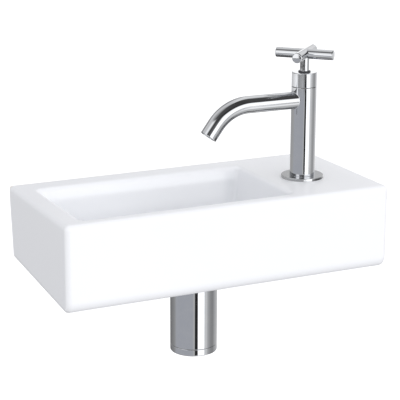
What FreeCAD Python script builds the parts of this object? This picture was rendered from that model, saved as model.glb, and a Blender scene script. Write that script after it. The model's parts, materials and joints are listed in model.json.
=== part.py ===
import FreeCAD, Part
import math
import os

# Small wall-hung hand basin: glazed ceramic block with the bowl at the left and a flat tap deck
# at the right, a cold-water pillar tap with a cross handle, an always-open waste and a bottle trap.
#
# Working coordinates below: x from the basin's left side, y from its front, z from its top face.
# Every piece is moved at the end so that the origin is the middle of the two wall-bolt holes on
# the back face: +X right, +Y into the wall, +Z up. All sizes in millimetres.

V = FreeCAD.Vector
os.makedirs("parts", exist_ok=True)

# ---- basin block ----
W = 385.0              # width
D = 177.0              # front to wall
H = 97.0               # height of the front apron
RISE = 15.0            # the underside is this much higher at the wall
R_FOOT = 14.0          # lower front edge
R_SIDE = 6.0           # vertical front edges and the lower edges of the sides
R_TOP = 5.4            # top outside edges
R_BACK = 9.0           # lower back edge
R_RIM = 6.0            # bowl's rim, inner edge
APRON = 10.0           # apron wall thickness
DECK = 14.0            # tap deck thickness
SHELL = 9.0            # bowl wall thickness

# ---- bowl ----
BX0, BX1 = 23.3, 271.5     # opening, left and right
BY0, BY1 = 18.3, 149.3     # opening, front and back
B_CORNER = 15.0            # corner radius seen from above
WALL_FOOT = -45.0          # the leans below are measured at this depth
TAPER = (6.0, 11.0, 2.5, 8.0)   # left, right, front, back walls lean in by this much
R_FLOOR = 16.0             # wall to floor radius
FOOT_TURN = 80.0           # degrees that this radius turns through
FLOOR_Z = -66.5            # floor round the waste

# ---- wall bolts ----
BOLT_SPACING = 200.0
BOLT_Z = -60.0
BOLT_R = 7.0

# ---- tap ----
TX, TY = 316.0, 76.0       # tap axis
R_TAP_HOLE = 16.0
FLANGE_R, FLANGE_H = 24.0, 3.2
PILLAR_R = 14.15
PILLAR_TOP = 105.0
BONNET_TOP = 121.5
TAIL_R = 10.45             # half-inch pipe thread, outside
TAIL_END = -56.0
TAIL_GROOVE = -29.5, -31.5   # thread run-out groove: the backnut's thread is above it, the connector's below
WATERWAY_R = 4.5
SPOUT_Z = 90.0
SPOUT_R, SPOUT_BORE = 9.7, 7.9
SPOUT_BEND_X = 245.0
SPOUT_BEND_R = 49.3
SPOUT_BEND = 53.3          # degrees
SPOUT_END = 15.2           # straight run after the bend
HANDLE_Z = 142.0
ARM_R = 5.6
ARM_L = 33.2               # axis to the end of each arm
STEM_R = 5.2

# ---- waste and trap ----
WX, WY = 184.0, 86.0
R_WASTE_HOLE = 22.5
WASTE_TAIL_R = 20.95       # one-and-a-quarter-inch pipe thread, outside
TRAP_R = 26.65
TRAP_TOP = -104.8
TRAP_SEAM = -182.8
TRAP_BOTTOM = -191.0
DIP_END = -173.5          # the dip tube's lower end
OUTLET_Z = -124.6
OUTLET_R = 16.15           # takes a 32 mm waste pipe

ORIGIN = V(-W / 2, -D, -BOLT_Z)
nodes = {}


def add(name, shape):
    """Keeps one piece, or a group of identical fasteners, under its own name."""
    nodes[name] = shape


def cyl(r, x, y, z0, z1):
    return Part.makeCylinder(r, z1 - z0, V(x, y, z0))


def tube(ro, ri, x, y, z0, z1):
    return cyl(ro, x, y, z0, z1).cut(cyl(ri, x, y, z0 - 1, z1 + 1))


def turned(points, x, y):
    """Solid of revolution about the vertical through x, y. points are (radius, z)."""
    pts = [V(x + r, y, z) for r, z in points]
    pts.append(pts[0])
    return Part.Face(Part.makePolygon(pts)).revolve(V(x, y, 0), V(0, 0, 1), 360)


def turned_on(points, p, d):
    """Solid of revolution about direction d through p. points are (radius, distance along d)."""
    s = turned(points, 0, 0)
    s.Placement = FreeCAD.Placement(p, FreeCAD.Rotation(V(0, 0, 1), d))
    return s


def hexagon(flats, x, y, z0, z1, turn=0.0):
    r = flats / math.sqrt(3)
    pts = [V(x + r * math.cos(math.radians(60 * i + turn)), y + r * math.sin(math.radians(60 * i + turn)), z0) for i in range(7)]
    pts[6] = pts[0]
    return Part.Face(Part.makePolygon(pts)).extrude(V(0, 0, z1 - z0))


def one(shape):
    """The single solid of a boolean result."""
    shape = shape.removeSplitter()
    s = shape.Solids
    if len(s) != 1:
        print("   not one solid:", len(s), [round(k.Volume, 1) for k in s])
        s = sorted(s, key=lambda k: -k.Volume)
    return s[0]


def rounded(shape, r, pick):
    edges = [e for e in shape.Edges if pick(e)]
    try:
        out = shape.makeFillet(r, edges)
        if out.isValid() and len(out.Solids) == 1:
            return out.Solids[0]
        print("   fillet not valid, r", r, "edges", len(edges))
    except Exception as error:
        print("   fillet failed, r", r, "edges", len(edges), error)
    return shape


def mids(e):
    return e.valueAt((e.FirstParameter + e.LastParameter) / 2)


def near(v, target, tol=0.6):
    return abs(v - target) < tol


# =====================================================================================
# Ceramic basin
# =====================================================================================
def rounded_rect(x0, x1, y0, y1, r, z):
    k = r * (1 - math.sqrt(0.5))
    c = [V(x0 + r, y0, z), V(x1 - r, y0, z), V(x1, y0 + r, z), V(x1, y1 - r, z),
         V(x1 - r, y1, z), V(x0 + r, y1, z), V(x0, y1 - r, z), V(x0, y0 + r, z)]
    m = [V(x1 - k, y0 + k, z), V(x1 - k, y1 - k, z), V(x0 + k, y1 - k, z), V(x0 + k, y0 + k, z)]
    e = [Part.makeLine(c[0], c[1]), Part.Arc(c[1], m[0], c[2]).toShape(),
         Part.makeLine(c[2], c[3]), Part.Arc(c[3], m[1], c[4]).toShape(),
         Part.makeLine(c[4], c[5]), Part.Arc(c[5], m[2], c[6]).toShape(),
         Part.makeLine(c[6], c[7]), Part.Arc(c[7], m[3], c[0]).toShape()]
    return Part.Wire(e)


def bowl_solid(out=0.0, down=0.0):
    """The bowl's hollow: leaning walls, a round foot, and a floor that falls to the waste. out and down grow it."""
    def level(z, a=0.0):
        t = min(z, 4.0) / WALL_FOOT if a == 0 else 1.0
        inset = R_FLOOR * (1 - math.cos(a)) - out * math.cos(a)
        drop = (R_FLOOR + down) * math.sin(a)
        return (BX0 + TAPER[0] * t + inset, BX1 - TAPER[1] * t - inset, BY0 + TAPER[2] * t + inset, BY1 - TAPER[3] * t - inset,
                B_CORNER + 2.0 * t + out * math.cos(a) - 0.25 * R_FLOOR * (1 - math.cos(a)), z - drop)
    foot = [rounded_rect(*level(WALL_FOOT, math.radians(FOOT_TURN * i / 4))) for i in range(5)]
    walls = Part.makeLoft([rounded_rect(*level(4.0)), foot[0]], True, True)
    corner = Part.makeLoft(foot, True, False)
    pad = rounded_rect(WX - 34, WX + 34, WY - 34, WY + 33.5, 31.0, FLOOR_Z - down)
    floor = Part.makeLoft([foot[-1], pad], True, True)
    return one(walls.fuse(corner).fuse(floor))


slope = math.atan2(RISE, D)
foot_y = R_FOOT * math.tan((math.pi / 2 + slope) / 2)      # where the lower front round meets the underside, along it
heel = V(0, foot_y * math.cos(slope), -H + foot_y * math.sin(slope))
toe = V(0, 0, -H + foot_y)
centre = V(0, R_FOOT, -H + foot_y)
half = centre + ((toe - centre) + (heel - centre)).normalize() * R_FOOT
profile = Part.Wire([Part.makeLine(V(0, 0, 0), V(0, D, 0)), Part.makeLine(V(0, D, 0), V(0, D, -H + RISE)), Part.makeLine(V(0, D, -H + RISE), heel),
                     Part.Arc(heel, half, toe).toShape(), Part.makeLine(toe, V(0, 0, 0))])
block = Part.Face(profile).extrude(V(W, 0, 0))
block = rounded(block, R_SIDE, lambda e: near(mids(e).y, 0) and near(abs(mids(e).x - W / 2), W / 2) and e.Length > 50)
block = rounded(block, R_BACK, lambda e: near(mids(e).y, D) and near(mids(e).z, -H + RISE) and e.Length > 300)
block = rounded(block, R_TOP, lambda e: near(mids(e).z, 0, 0.05) and mids(e).y < D - 1.0)


def relief(x, inward):
    """Takes the rear lower corner off a side: nothing near the top, about a centimetre at the bottom."""
    a, b, c = V(x, D, -8), V(x, D - 9.5, -90) - V(x, D, -8), V(x + 12 * inward, D, -90) - V(x, D, -8)
    pts = [a - b * 0.2 - c * 0.2, a + b * 1.6 - c * 0.2, a - b * 0.2 + c * 1.6]
    n = b.cross(c).normalize()
    n = n if n.y > 0 else n * -1
    return Part.Face(Part.makePolygon(pts + [pts[0]])).extrude(n * 30)


block = one(block.cut(relief(0, 1)).cut(relief(W, -1)))

bowl = bowl_solid()
bowl_outside = bowl_solid(SHELL, 10.0)
under = Part.makeBox(W - 2 * APRON, D - 2 * APRON, H + 10 - DECK, V(APRON, APRON, -H - 10))
under = rounded(under, 7.0, lambda e: e.Length > 20 and near(abs(mids(e).x - W / 2), W / 2 - APRON) and (near(mids(e).y, APRON) or near(mids(e).y, D - APRON)))
under = rounded(under, 6.0, lambda e: near(mids(e).z, -DECK, 0.05))
under = under.cut(bowl_outside).cut(cyl(38.0, WX, WY, -79.5, 0))
basin = block.cut(bowl)
basin = basin.cut(under)
basin = basin.cut(cyl(33.0, WX, WY, FLOOR_Z - 2.5, FLOOR_Z + 12)).cut(cyl(R_WASTE_HOLE, WX, WY, -120, 0))
basin = basin.cut(cyl(R_TAP_HOLE, TX, TY, -40, 20))
for sx in (-1, 1):
    basin = basin.cut(Part.makeCylinder(BOLT_R, 2 * APRON + 5, V(W / 2 + sx * BOLT_SPACING / 2, D - 2 * APRON + 4, BOLT_Z), V(0, 1, 0)))
basin = one(basin)
basin = rounded(basin, R_RIM, lambda e: near(mids(e).z, 0, 0.02) and BX0 - 3 < mids(e).x < BX1 + 3 and BY0 - 3 < mids(e).y < BY1 + 3)
basin = one(basin)
add("basin", basin)

# =====================================================================================
# Tap: base, pillar, shank and what clamps it to the deck
# =====================================================================================
flange = turned([(TAIL_R + 0.15, 0), (FLANGE_R, 0), (FLANGE_R, FLANGE_H), (TAIL_R + 0.15, FLANGE_H)], TX, TY)
flange = rounded(flange, 1.2, lambda e: near(mids(e).z, FLANGE_H, 0.01) and e.BoundBox.XLength > 2 * FLANGE_R - 1)
flange = flange.cut(tube(22.0, 19.0, TX, TY, -1, 1.2))
add("tap_flange", one(flange))
add("tap_flange_seal", one(tube(22.0, 19.0, TX, TY, 0, 1.2)))

SPOUT_ROOT = 11.2          # the spout's inner end, from the tap axis


def spout_solid(r, start, extra):
    """The spout's path as one round solid of radius r: straight run, bend, straight end."""
    a = Part.makeCylinder(r, TX - start - SPOUT_BEND_X, V(TX - start, TY, SPOUT_Z), V(-1, 0, 0))
    face = Part.Face(Part.Wire(Part.makeCircle(r, V(SPOUT_BEND_X, TY, SPOUT_Z), V(1, 0, 0))))
    b = face.revolve(V(SPOUT_BEND_X, TY, SPOUT_Z - SPOUT_BEND_R), V(0, -1, 0), SPOUT_BEND)
    c = Part.makeCylinder(r, SPOUT_END + extra, BEND_END, SPOUT_DIR)
    return a.fuse(b).fuse(c).removeSplitter()


_t = math.radians(SPOUT_BEND)
BEND_END = V(SPOUT_BEND_X - SPOUT_BEND_R * math.sin(_t), TY, SPOUT_Z - SPOUT_BEND_R * (1 - math.cos(_t)))
SPOUT_DIR = V(-math.cos(_t), 0, -math.sin(_t))
TIP = BEND_END + SPOUT_DIR * SPOUT_END
INWARD = SPOUT_DIR * -1

body = cyl(PILLAR_R, TX, TY, FLANGE_H, PILLAR_TOP)
body = rounded(body, 0.35, lambda e: near(mids(e).z, PILLAR_TOP, 0.01))
body = body.cut(cyl(10.0, TX, TY, 81, 98)).cut(cyl(TAIL_R, TX, TY, 98, PILLAR_TOP + 1))
body = body.cut(cyl(WATERWAY_R, TX, TY, FLANGE_H - 1, 82)).cut(cyl(8.0, TX, TY, FLANGE_H - 1, FLANGE_H + 12))
body = body.cut(Part.makeCylinder(SPOUT_BORE, 30, V(TX, TY, SPOUT_Z), V(-1, 0, 0)))
body = body.cut(Part.makeCylinder(SPOUT_R, 30, V(TX, TY, SPOUT_Z), V(-1, 0, 0)).cut(cyl(SPOUT_ROOT, TX, TY, 60, 120)))
add("tap_body", one(body))

tail = turned([(WATERWAY_R, TAIL_END), (7.0, TAIL_END), (TAIL_R - 0.8, TAIL_END), (TAIL_R, TAIL_END + 0.8), (TAIL_R, TAIL_GROOVE[1]), (9.35, TAIL_GROOVE[1]),
               (9.35, TAIL_GROOVE[0]), (TAIL_R, TAIL_GROOVE[0]), (TAIL_R, FLANGE_H),
               (8.0, FLANGE_H), (8.0, FLANGE_H + 12), (WATERWAY_R, FLANGE_H + 12)], TX, TY)
add("tap_tail", one(tail))
add("tap_centring_bush", one(turned([(TAIL_R + 0.1, -13.2), (15.8, -13.2), (15.8, -0.6), (15.2, 0), (TAIL_R + 0.1, 0)], TX, TY)))
add("tap_rubber_washer", one(rounded(tube(22.0, TAIL_R + 0.1, TX, TY, -DECK - 3, -DECK), 0.6, lambda e: e.BoundBox.XLength > 40)))
add("tap_steel_washer", one(tube(21.0, TAIL_R + 0.1, TX, TY, -DECK - 4.5, -DECK - 3)))
nut_top = -DECK - 4.5
backnut = hexagon(30.0, TX, TY, nut_top - 8, nut_top, 15)
backnut = backnut.common(turned([(0, nut_top - 8.1), (15.2, nut_top - 8.1), (17.6, nut_top - 6.6), (17.6, nut_top + 0.1), (0, nut_top + 0.1)], TX, TY))
add("tap_backnut", one(backnut.cut(cyl(TAIL_R, TX, TY, -60, 0))))

# ---- spout ----
spout = spout_solid(SPOUT_R, 0.0, 0.0).cut(spout_solid(SPOUT_BORE, -5.0, 1.0))
spout = spout.cut(cyl(SPOUT_ROOT, TX, TY, 60, 120))
spout = spout.cut(Part.makeCylinder(8.2, 9.4, TIP, INWARD)).cut(Part.makeCylinder(8.2, 5, TIP, SPOUT_DIR))
add("spout_tube", one(spout))

housing = turned_on([(6.0, 0.6), (7.7, 0.6), (8.2, 1.1), (8.2, 8.4), (6.6, 8.4), (6.6, 1.2), (6.0, 1.2)], TIP, INWARD)
add("aerator_housing", one(housing))
insert = Part.makeCylinder(6.6, 3.2, TIP + INWARD * 1.2, INWARD)
side = INWARD.cross(V(0, 1, 0))
holes = []
for ring, count in ((0.0, 1), (2.35, 6), (4.7, 12)):
    for i in range(count):
        a = 2 * math.pi * i / count
        c = TIP + INWARD * 0.6 + V(0, 1, 0) * (ring * math.cos(a)) + side * (ring * math.sin(a))
        holes.append(Part.makeCylinder(0.85, 5, c, INWARD))
add("aerator_insert", one(insert.cut(Part.makeCompound(holes))))
screen = Part.makeCylinder(6.6, 0.5, TIP + INWARD * 5.4, INWARD)
holes = []
for i in range(-5, 6):
    for j in range(-5, 6):
        if math.hypot(i, j) * 1.15 < 5.7:
            holes.append(Part.makeBox(0.7, 0.7, 2, V(i * 1.15 - 0.35, j * 1.15 - 0.35, 0)))
mesh = Part.makeCompound(holes)
mesh.Placement = FreeCAD.Placement(TIP + INWARD * 4.6, FreeCAD.Rotation(V(0, 0, 1), INWARD))
add("aerator_screen", one(screen.cut(mesh)))
add("aerator_seal", one(turned_on([(7.0, 8.4), (8.2, 8.4), (8.2, 9.4), (7.0, 9.4)], TIP, INWARD)))

# =====================================================================================
# Quarter-turn headwork
# =====================================================================================
NECK_R = 9.0
head = turned([(3.6, 81.6), (9.4, 81.6), (9.4, 98), (TAIL_R, 98), (TAIL_R, PILLAR_TOP), (12.0, PILLAR_TOP), (12.0, 110.5),
               (NECK_R, 110.5), (NECK_R, 118.5), (4.05, 118.5), (4.05, 92.2), (7.5, 92.2), (7.5, 84.2), (3.6, 84.2)], TX, TY)
head = head.cut(tube(14.0, 9.9, TX, TY, PILLAR_TOP, 110.5).cut(hexagon(21.0, TX, TY, PILLAR_TOP - 1, 111.5)))
head = head.cut(Part.makeBox(40, 9.0, 4.4, V(TX - 20, TY - 4.5, 87.2)))
add("headwork_body", one(head))
add("seat_seal", one(turned([(3.6, 81), (9.2, 81), (9.2, 81.6), (3.6, 81.6)], TX, TY)))


def disc(z0, z1, r, half):
    """Ceramic disc with two opposite quarter ports."""
    d = cyl(r, TX, TY, z0, z1)
    for turn in (0, 180):
        sector = Part.makeCylinder(5.6, z1 - z0 + 2, V(TX, TY, z0 - 1), V(0, 0, 1), 2 * half)
        sector = sector.cut(cyl(2.0, TX, TY, z0 - 2, z1 + 2))
        sector.rotate(V(TX, TY, 0), V(0, 0, 1), turn - half + 90)
        d = d.cut(sector)
    return d


add("fixed_disc", one(disc(84.2, 86.6, 7.45, 38)))
moving = disc(86.65, 89.0, 7.2, 38)
moving.rotate(V(TX, TY, 0), V(0, 0, 1), -90)
moving = moving.cut(Part.makeBox(16, 3.0, 1.0, V(TX - 8, TY - 1.5, 88.0)))
add("moving_disc", one(moving))
spin = turned([(0, 89.0), (7.2, 89.0), (7.2, 91.9), (4.0, 91.9), (4.0, 99.0), (3.1, 99.0), (3.1, 100.1), (4.0, 100.1), (4.0, 104.0),
               (3.1, 104.0), (3.1, 105.1), (4.0, 105.1), (4.0, 118.8), (3.3, 118.8), (3.3, 119.5), (4.0, 119.5), (4.0, 120.2), (3.75, 120.6),
               (3.75, 133.2), (3.2, 133.8), (0, 133.8)], TX, TY)
spin = spin.fuse(Part.makeBox(14, 2.9, 1.0, V(TX - 7, TY - 1.45, 88.0)).common(cyl(7.1, TX, TY, 80, 100)))
grooves = []
for i in range(20):
    g = Part.makeBox(0.8, 0.5, 20, V(3.35, -0.25, 121.2))
    g.rotate(V(0, 0, 0), V(0, 0, 1), 18 * i)
    g.translate(V(TX, TY, 0))
    grooves.append(g)
add("spindle", one(spin.cut(Part.makeCompound(grooves))))
rings = []
for zc in (99.55, 104.55):
    t = Part.makeTorus(3.55, 0.45, V(TX, TY, zc), V(0, 0, 1))
    rings.append(Part.Solid(Part.Shell(t.Faces)) if not t.Solids else t.Solids[0])
add("spindle_o_rings", Part.makeCompound(rings))
clip = tube(5.1, 3.3, TX, TY, 118.8, 119.5).cut(Part.makeBox(8, 2.6, 4, V(TX, TY - 1.3, 117)))
add("spindle_circlip", one(clip))

bonnet = turned([(12.3, PILLAR_TOP + 0.3), (PILLAR_R - 0.35, PILLAR_TOP + 0.3), (PILLAR_R, PILLAR_TOP + 0.65), (PILLAR_R, BONNET_TOP - 0.5),
                 (PILLAR_R - 0.5, BONNET_TOP), (5.6, BONNET_TOP), (5.6, 119.9), (NECK_R, 119.9), (NECK_R, 112.0), (12.3, 112.0)], TX, TY)
add("bonnet", one(bonnet))
add("stem_ring", one(turned([(5.5, BONNET_TOP), (6.9, BONNET_TOP), (6.9, BONNET_TOP + 0.8), (6.5, BONNET_TOP + 1.2), (5.5, BONNET_TOP + 1.2)], TX, TY)))

# =====================================================================================
# Cross handle. Its arms stand at 45 degrees to the spout
# =====================================================================================
HUB = V(TX, TY, HANDLE_Z)


def flat_dir(angle):
    return V(math.cos(math.radians(angle)), math.sin(math.radians(angle)), 0)


def chamfered_rod(p, d, length, r, c, both):
    s = Part.makeCylinder(r, length, p, d)
    ends = [e for e in s.Edges if isinstance(e.Curve, Part.Circle) and e.Closed]
    far = p + d * length
    if not both:
        ends = [e for e in ends if e.Curve.Center.distanceToPoint(far) < 0.1]
    return s.makeChamfer(c, ends)


LONG = flat_dir(-45)       # the through bar
bar = chamfered_rod(HUB - LONG * ARM_L, LONG, 2 * ARM_L, ARM_R, 0.7, True)
stud_r = 2.5
cross_dir = flat_dir(-135)
bar = bar.cut(Part.makeCylinder(stud_r, 20, HUB - cross_dir * 10, cross_dir))
add("handle_bar", one(bar))
cope = Part.makeCylinder(ARM_R, 4 * ARM_R, HUB - LONG * (2 * ARM_R), LONG)
for name, angle in (("handle_arm_front", -135), ("handle_arm_rear", 45)):
    d = flat_dir(angle)
    arm = chamfered_rod(HUB, d, ARM_L, ARM_R, 0.7, False).cut(cope)
    arm = arm.fuse(Part.makeCylinder(stud_r, 9, HUB + d * 0.4, d))
    add(name, one(arm))
stem = cyl(STEM_R, TX, TY, 119.95, HANDLE_Z)
stem = stem.cut(cope).cut(Part.makeCylinder(ARM_R, 4 * ARM_R, HUB - cross_dir * (2 * ARM_R), cross_dir))
stem = stem.cut(cyl(3.78, TX, TY, 119, 134.4)).cut(cyl(4.1, TX, TY, 119, 120.6))
GRUB_Z = 127.5
stem = stem.cut(Part.makeCylinder(1.6, 8, V(TX, TY, GRUB_Z), V(0, 1, 0)))
add("handle_stem", one(stem))
grub = Part.makeCylinder(1.6, 1.3, V(TX, TY + 3.75, GRUB_Z), V(0, 1, 0))
socket = hexagon(1.5, 0, 0, 0, 3)
socket.Placement = FreeCAD.Placement(V(TX, TY + 4.4, GRUB_Z), FreeCAD.Rotation(V(0, 0, 1), V(0, 1, 0)))
add("handle_grub_screw", one(grub.cut(socket)))

# =====================================================================================
# Waste: always open, fixed strainer
# =====================================================================================
SEAT = FLOOR_Z - 2.5       # bottom of the recess in the bowl's floor
add("waste_top_seal", one(tube(31.0, 23.0, WX, WY, SEAT, SEAT + 1.0)))
f0 = SEAT + 1.0
WASTE_END = -98.5
waste = turned([(17.5, WASTE_END), (WASTE_TAIL_R - 0.8, WASTE_END), (WASTE_TAIL_R, WASTE_END + 0.8), (WASTE_TAIL_R, f0), (31.2, f0), (31.6, f0 + 0.7),
                (31.2, f0 + 1.6), (29.0, f0 + 2.4), (25.4, f0 + 2.4), (24.4, f0 + 1.8), (23.8, f0 + 0.8), (19.2, f0 + 0.8), (17.5, f0 - 2.0)], WX, WY)
web = []
for i in range(3):
    b = Part.makeBox(18.0, 3.0, 5.0, V(0, -1.5, f0 - 11))
    b.rotate(V(0, 0, 0), V(0, 0, 1), 120 * i + 30)
    b.translate(V(WX, WY, 0))
    web.append(b)
waste = waste.fuse(Part.makeCompound(web).common(cyl(18.0, WX, WY, -90, -60))).fuse(cyl(5.0, WX, WY, f0 - 12, f0 - 5)).cut(cyl(3.0, WX, WY, f0 - 13, f0))
add("waste_body", one(waste))
s0 = f0 + 0.8
strainer = turned([(0, s0), (23.2, s0), (23.5, s0 + 0.5), (22.8, s0 + 1.2), (14.0, s0 + 1.8), (0, s0 + 2.1)], WX, WY)
slots = [cyl(3.1, WX, WY, s0 - 5, s0 + 6)]
for i in range(8):
    for r_in, r_out, w in ((8.6, 18.6, 3.4),):
        b = Part.makeBox(r_out - r_in, w, 8, V(r_in, -w / 2, s0 - 3))
        e0 = Part.makeCylinder(w / 2, 8, V(r_in, 0, s0 - 3))
        e1 = Part.makeCylinder(w / 2, 8, V(r_out, 0, s0 - 3))
        b = b.fuse(e0).fuse(e1)
        b.rotate(V(0, 0, 0), V(0, 0, 1), 45 * i + 22.5)
        b.translate(V(WX, WY, 0))
        slots.append(b)
strainer = strainer.cut(Part.makeCompound(slots))
strainer = strainer.cut(turned([(0, s0 + 0.7), (3.1, s0 + 0.7), (5.6, s0 + 2.2), (5.6, s0 + 5), (0, s0 + 5)], WX, WY))
add("waste_strainer", one(strainer))
screw = turned([(0, f0 - 11.5), (2.5, f0 - 11.5), (3.0, f0 - 11), (3.0, s0 + 0.7), (3.1, s0 + 0.7), (5.3, s0 + 2.05), (5.3, s0 + 2.3), (0, s0 + 2.8)], WX, WY)
screw = screw.cut(Part.makeBox(12, 1.2, 1.2, V(WX - 6, WY - 0.6, s0 + 1.8)))
add("waste_screw", one(screw))
b0 = -79.5
add("waste_bottom_seal", one(turned([(WASTE_TAIL_R + 0.05, b0 - 3), (33.0, b0 - 3), (34.0, b0 - 2), (34.0, b0), (WASTE_TAIL_R + 0.05, b0)], WX, WY)))
add("waste_slip_washer", one(tube(33.0, WASTE_TAIL_R + 0.1, WX, WY, b0 - 4.2, b0 - 3)))
n1, n0 = b0 - 4.2, b0 - 10.7
locknut = hexagon(52.0, WX, WY, n0, n1, 0).common(turned([(0, n0), (27.6, n0), (30.2, n0 + 1.4), (30.2, n1), (0, n1)], WX, WY))
add("waste_lock_nut", one(locknut.cut(cyl(WASTE_TAIL_R, WX, WY, -120, -60))))

# =====================================================================================
# Bottle trap
# =====================================================================================
NECK = 18.6
NUT_TOP = -91.4
LIP = -102.5
inlet = turned([(WASTE_TAIL_R, NUT_TOP), (WASTE_TAIL_R, LIP), (NECK + 0.2, LIP), (NECK + 0.2, LIP - 1.5), (24.8, LIP - 1.5), (25.6, LIP - 0.7),
                (25.6, NUT_TOP - 0.9), (24.7, NUT_TOP)], WX, WY)
flutes = []
for i in range(12):
    g = Part.makeCylinder(2.2, 9.0, V(27.0, 0, LIP + 0.6))
    g.rotate(V(0, 0, 0), V(0, 0, 1), 30 * i)
    g.translate(V(WX, WY, 0))
    flutes.append(g)
add("trap_inlet_nut", one(inlet.cut(Part.makeCompound(flutes))))
add("trap_inlet_seal", one(tube(20.4, 15.0, WX, WY, -100.0, -98.5)))
add("trap_dip_tube", one(turned([(14.4, DIP_END), (15.9, DIP_END), (15.9, -101), (20.0, -101), (20.0, -100), (15.0, -100), (14.4, -101.5)], WX, WY)))

WALL_IN = TRAP_R - 2.0
trap = turned([(16.0, -101), (20.4, -101), (20.4, LIP), (NECK, LIP), (NECK, TRAP_TOP), (TRAP_R - 2.2, TRAP_TOP), (TRAP_R - 0.65, TRAP_TOP - 0.65), (TRAP_R, TRAP_TOP - 2.2),
               (TRAP_R, TRAP_SEAM + 0.5), (TRAP_R - 0.5, TRAP_SEAM), (WALL_IN, TRAP_SEAM), (WALL_IN, TRAP_TOP - 2.5), (16.0, TRAP_TOP - 2.5)], WX, WY)
SPIGOT_R = 19.4
SPIGOT_L = 63.0
spigot_end = WY + SPIGOT_L
spig = Part.makeCylinder(SPIGOT_R, SPIGOT_L, V(WX, WY, OUTLET_Z), V(0, 1, 0)).cut(cyl(WALL_IN, WX, WY, -190, -100))
trap = trap.fuse(spig)
trap = trap.cut(Part.makeCylinder(OUTLET_R, 40, V(WX, WY + 34.5, OUTLET_Z), V(0, 1, 0)))
trap = trap.cut(Part.makeCylinder(13.5, 60, V(WX, WY + 10, OUTLET_Z), V(0, 1, 0)))
add("trap_body", one(trap))

CAP_TOP = TRAP_SEAM - 0.2
RING_Z = TRAP_SEAM + 5.3   # the O-ring's groove in the cap's spigot
CAP_LIP = TRAP_SEAM + 8.3
cap = turned([(0, TRAP_BOTTOM), (TRAP_R - 1.4, TRAP_BOTTOM), (TRAP_R - 0.4, TRAP_BOTTOM + 0.4), (TRAP_R, TRAP_BOTTOM + 1.4), (TRAP_R, CAP_TOP - 0.5),
              (TRAP_R - 0.5, CAP_TOP), (24.55, CAP_TOP), (24.55, RING_Z - 0.9), (22.9, RING_Z - 0.9), (22.9, RING_Z + 0.9), (24.55, RING_Z + 0.9), (24.55, CAP_LIP),
              (21.4, CAP_LIP), (21.4, TRAP_BOTTOM + 3.2), (0, TRAP_BOTTOM + 3.2)], WX, WY)
add("trap_cap", one(cap))
ring = Part.makeTorus(23.77, 0.85, V(WX, WY, RING_Z), V(0, 0, 1))
add("trap_cap_o_ring", Part.makeCompound(ring.Solids) if len(ring.Solids) != 1 else ring.Solids[0])

OUT = V(WX, 0, OUTLET_Z)
YD = V(0, 1, 0)
e = spigot_end
nut_body = turned_on([(SPIGOT_R, e - 8.5), (SPIGOT_R, e + 5.2), (16.6, e + 5.2), (16.6, e + 7.5), (20.8, e + 7.5), (21.8, e + 6.5), (21.8, e - 7.5), (21.0, e - 8.5)], OUT, YD)
flutes = []
for i in range(12):
    a = 2 * math.pi * i / 12
    flutes.append(Part.makeCylinder(2.0, 10.0, V(WX + 23.2 * math.cos(a), e - 5.2, OUTLET_Z + 23.2 * math.sin(a)), YD))
add("trap_outlet_nut", one(nut_body.cut(Part.makeCompound(flutes))))
add("trap_outlet_seal", one(turned_on([(OUTLET_R, e), (19.2, e), (19.2, e + 1.0), (17.6, e + 4.0), (OUTLET_R, e + 4.0)], OUT, YD)))
add("trap_outlet_slip_ring", one(turned_on([(16.5, e + 4.0), (19.2, e + 4.0), (19.2, e + 5.2), (16.5, e + 5.2)], OUT, YD)))

# =====================================================================================
for name, shape in nodes.items():
    shape = shape.copy()
    shape.translate(ORIGIN)
    b = shape.BoundBox
    print("%-24s solids %d faces %3d valid %s volume %10.1f  x %.1f..%.1f y %.1f..%.1f z %.1f..%.1f"
          % (name, len(shape.Solids), len(shape.Faces), shape.isValid(), shape.Volume, b.XMin, b.XMax, b.YMin, b.YMax, b.ZMin, b.ZMax))
    shape.exportStep("parts/" + name + ".step")
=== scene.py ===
import bpy
import bmesh
import json
import math
from mathutils import Matrix, Vector, noise


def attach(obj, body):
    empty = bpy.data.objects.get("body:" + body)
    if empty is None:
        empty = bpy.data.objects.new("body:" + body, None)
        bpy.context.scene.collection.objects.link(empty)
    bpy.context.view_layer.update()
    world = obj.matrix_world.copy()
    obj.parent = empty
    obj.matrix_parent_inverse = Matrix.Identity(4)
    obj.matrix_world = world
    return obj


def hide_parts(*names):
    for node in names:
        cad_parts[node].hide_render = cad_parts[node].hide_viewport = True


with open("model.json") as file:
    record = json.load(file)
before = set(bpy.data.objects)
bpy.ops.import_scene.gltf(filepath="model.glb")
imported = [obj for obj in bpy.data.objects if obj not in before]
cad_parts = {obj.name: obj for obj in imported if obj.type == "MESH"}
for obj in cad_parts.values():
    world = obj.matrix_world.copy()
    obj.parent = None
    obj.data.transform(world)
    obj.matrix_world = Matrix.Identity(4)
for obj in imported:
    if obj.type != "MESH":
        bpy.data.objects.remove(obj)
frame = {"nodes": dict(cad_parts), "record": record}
nodes = frame["nodes"]
record = frame["record"]
scene = bpy.context.scene
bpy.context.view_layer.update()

# ======================================================================================
# Helpers. Meshes are written in millimetres: x from the basin's left side, y from its
# front, z from its top face, and placed in the row frame at the end.
# ======================================================================================
W, D, H, RISE = 385.0, 177.0, 97.0, 15.0
TX, TY = 316.0, 76.0            # tap axis
WX, WY = 184.0, 86.0            # waste axis
BX0, BX1, BY0, BY1 = 23.3, 271.5, 18.3, 149.3   # bowl opening
PLACE = Matrix.Translation((-W / 2000, -D / 1000, 0.060)) @ Matrix.Scale(0.001, 4)


def rad(a):
    return math.radians(a)


def lerp(a, b, t):
    return a + (b - a) * t


def smooth(t):
    t = max(0.0, min(1.0, t))
    return t * t * (3 - 2 * t)


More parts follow.
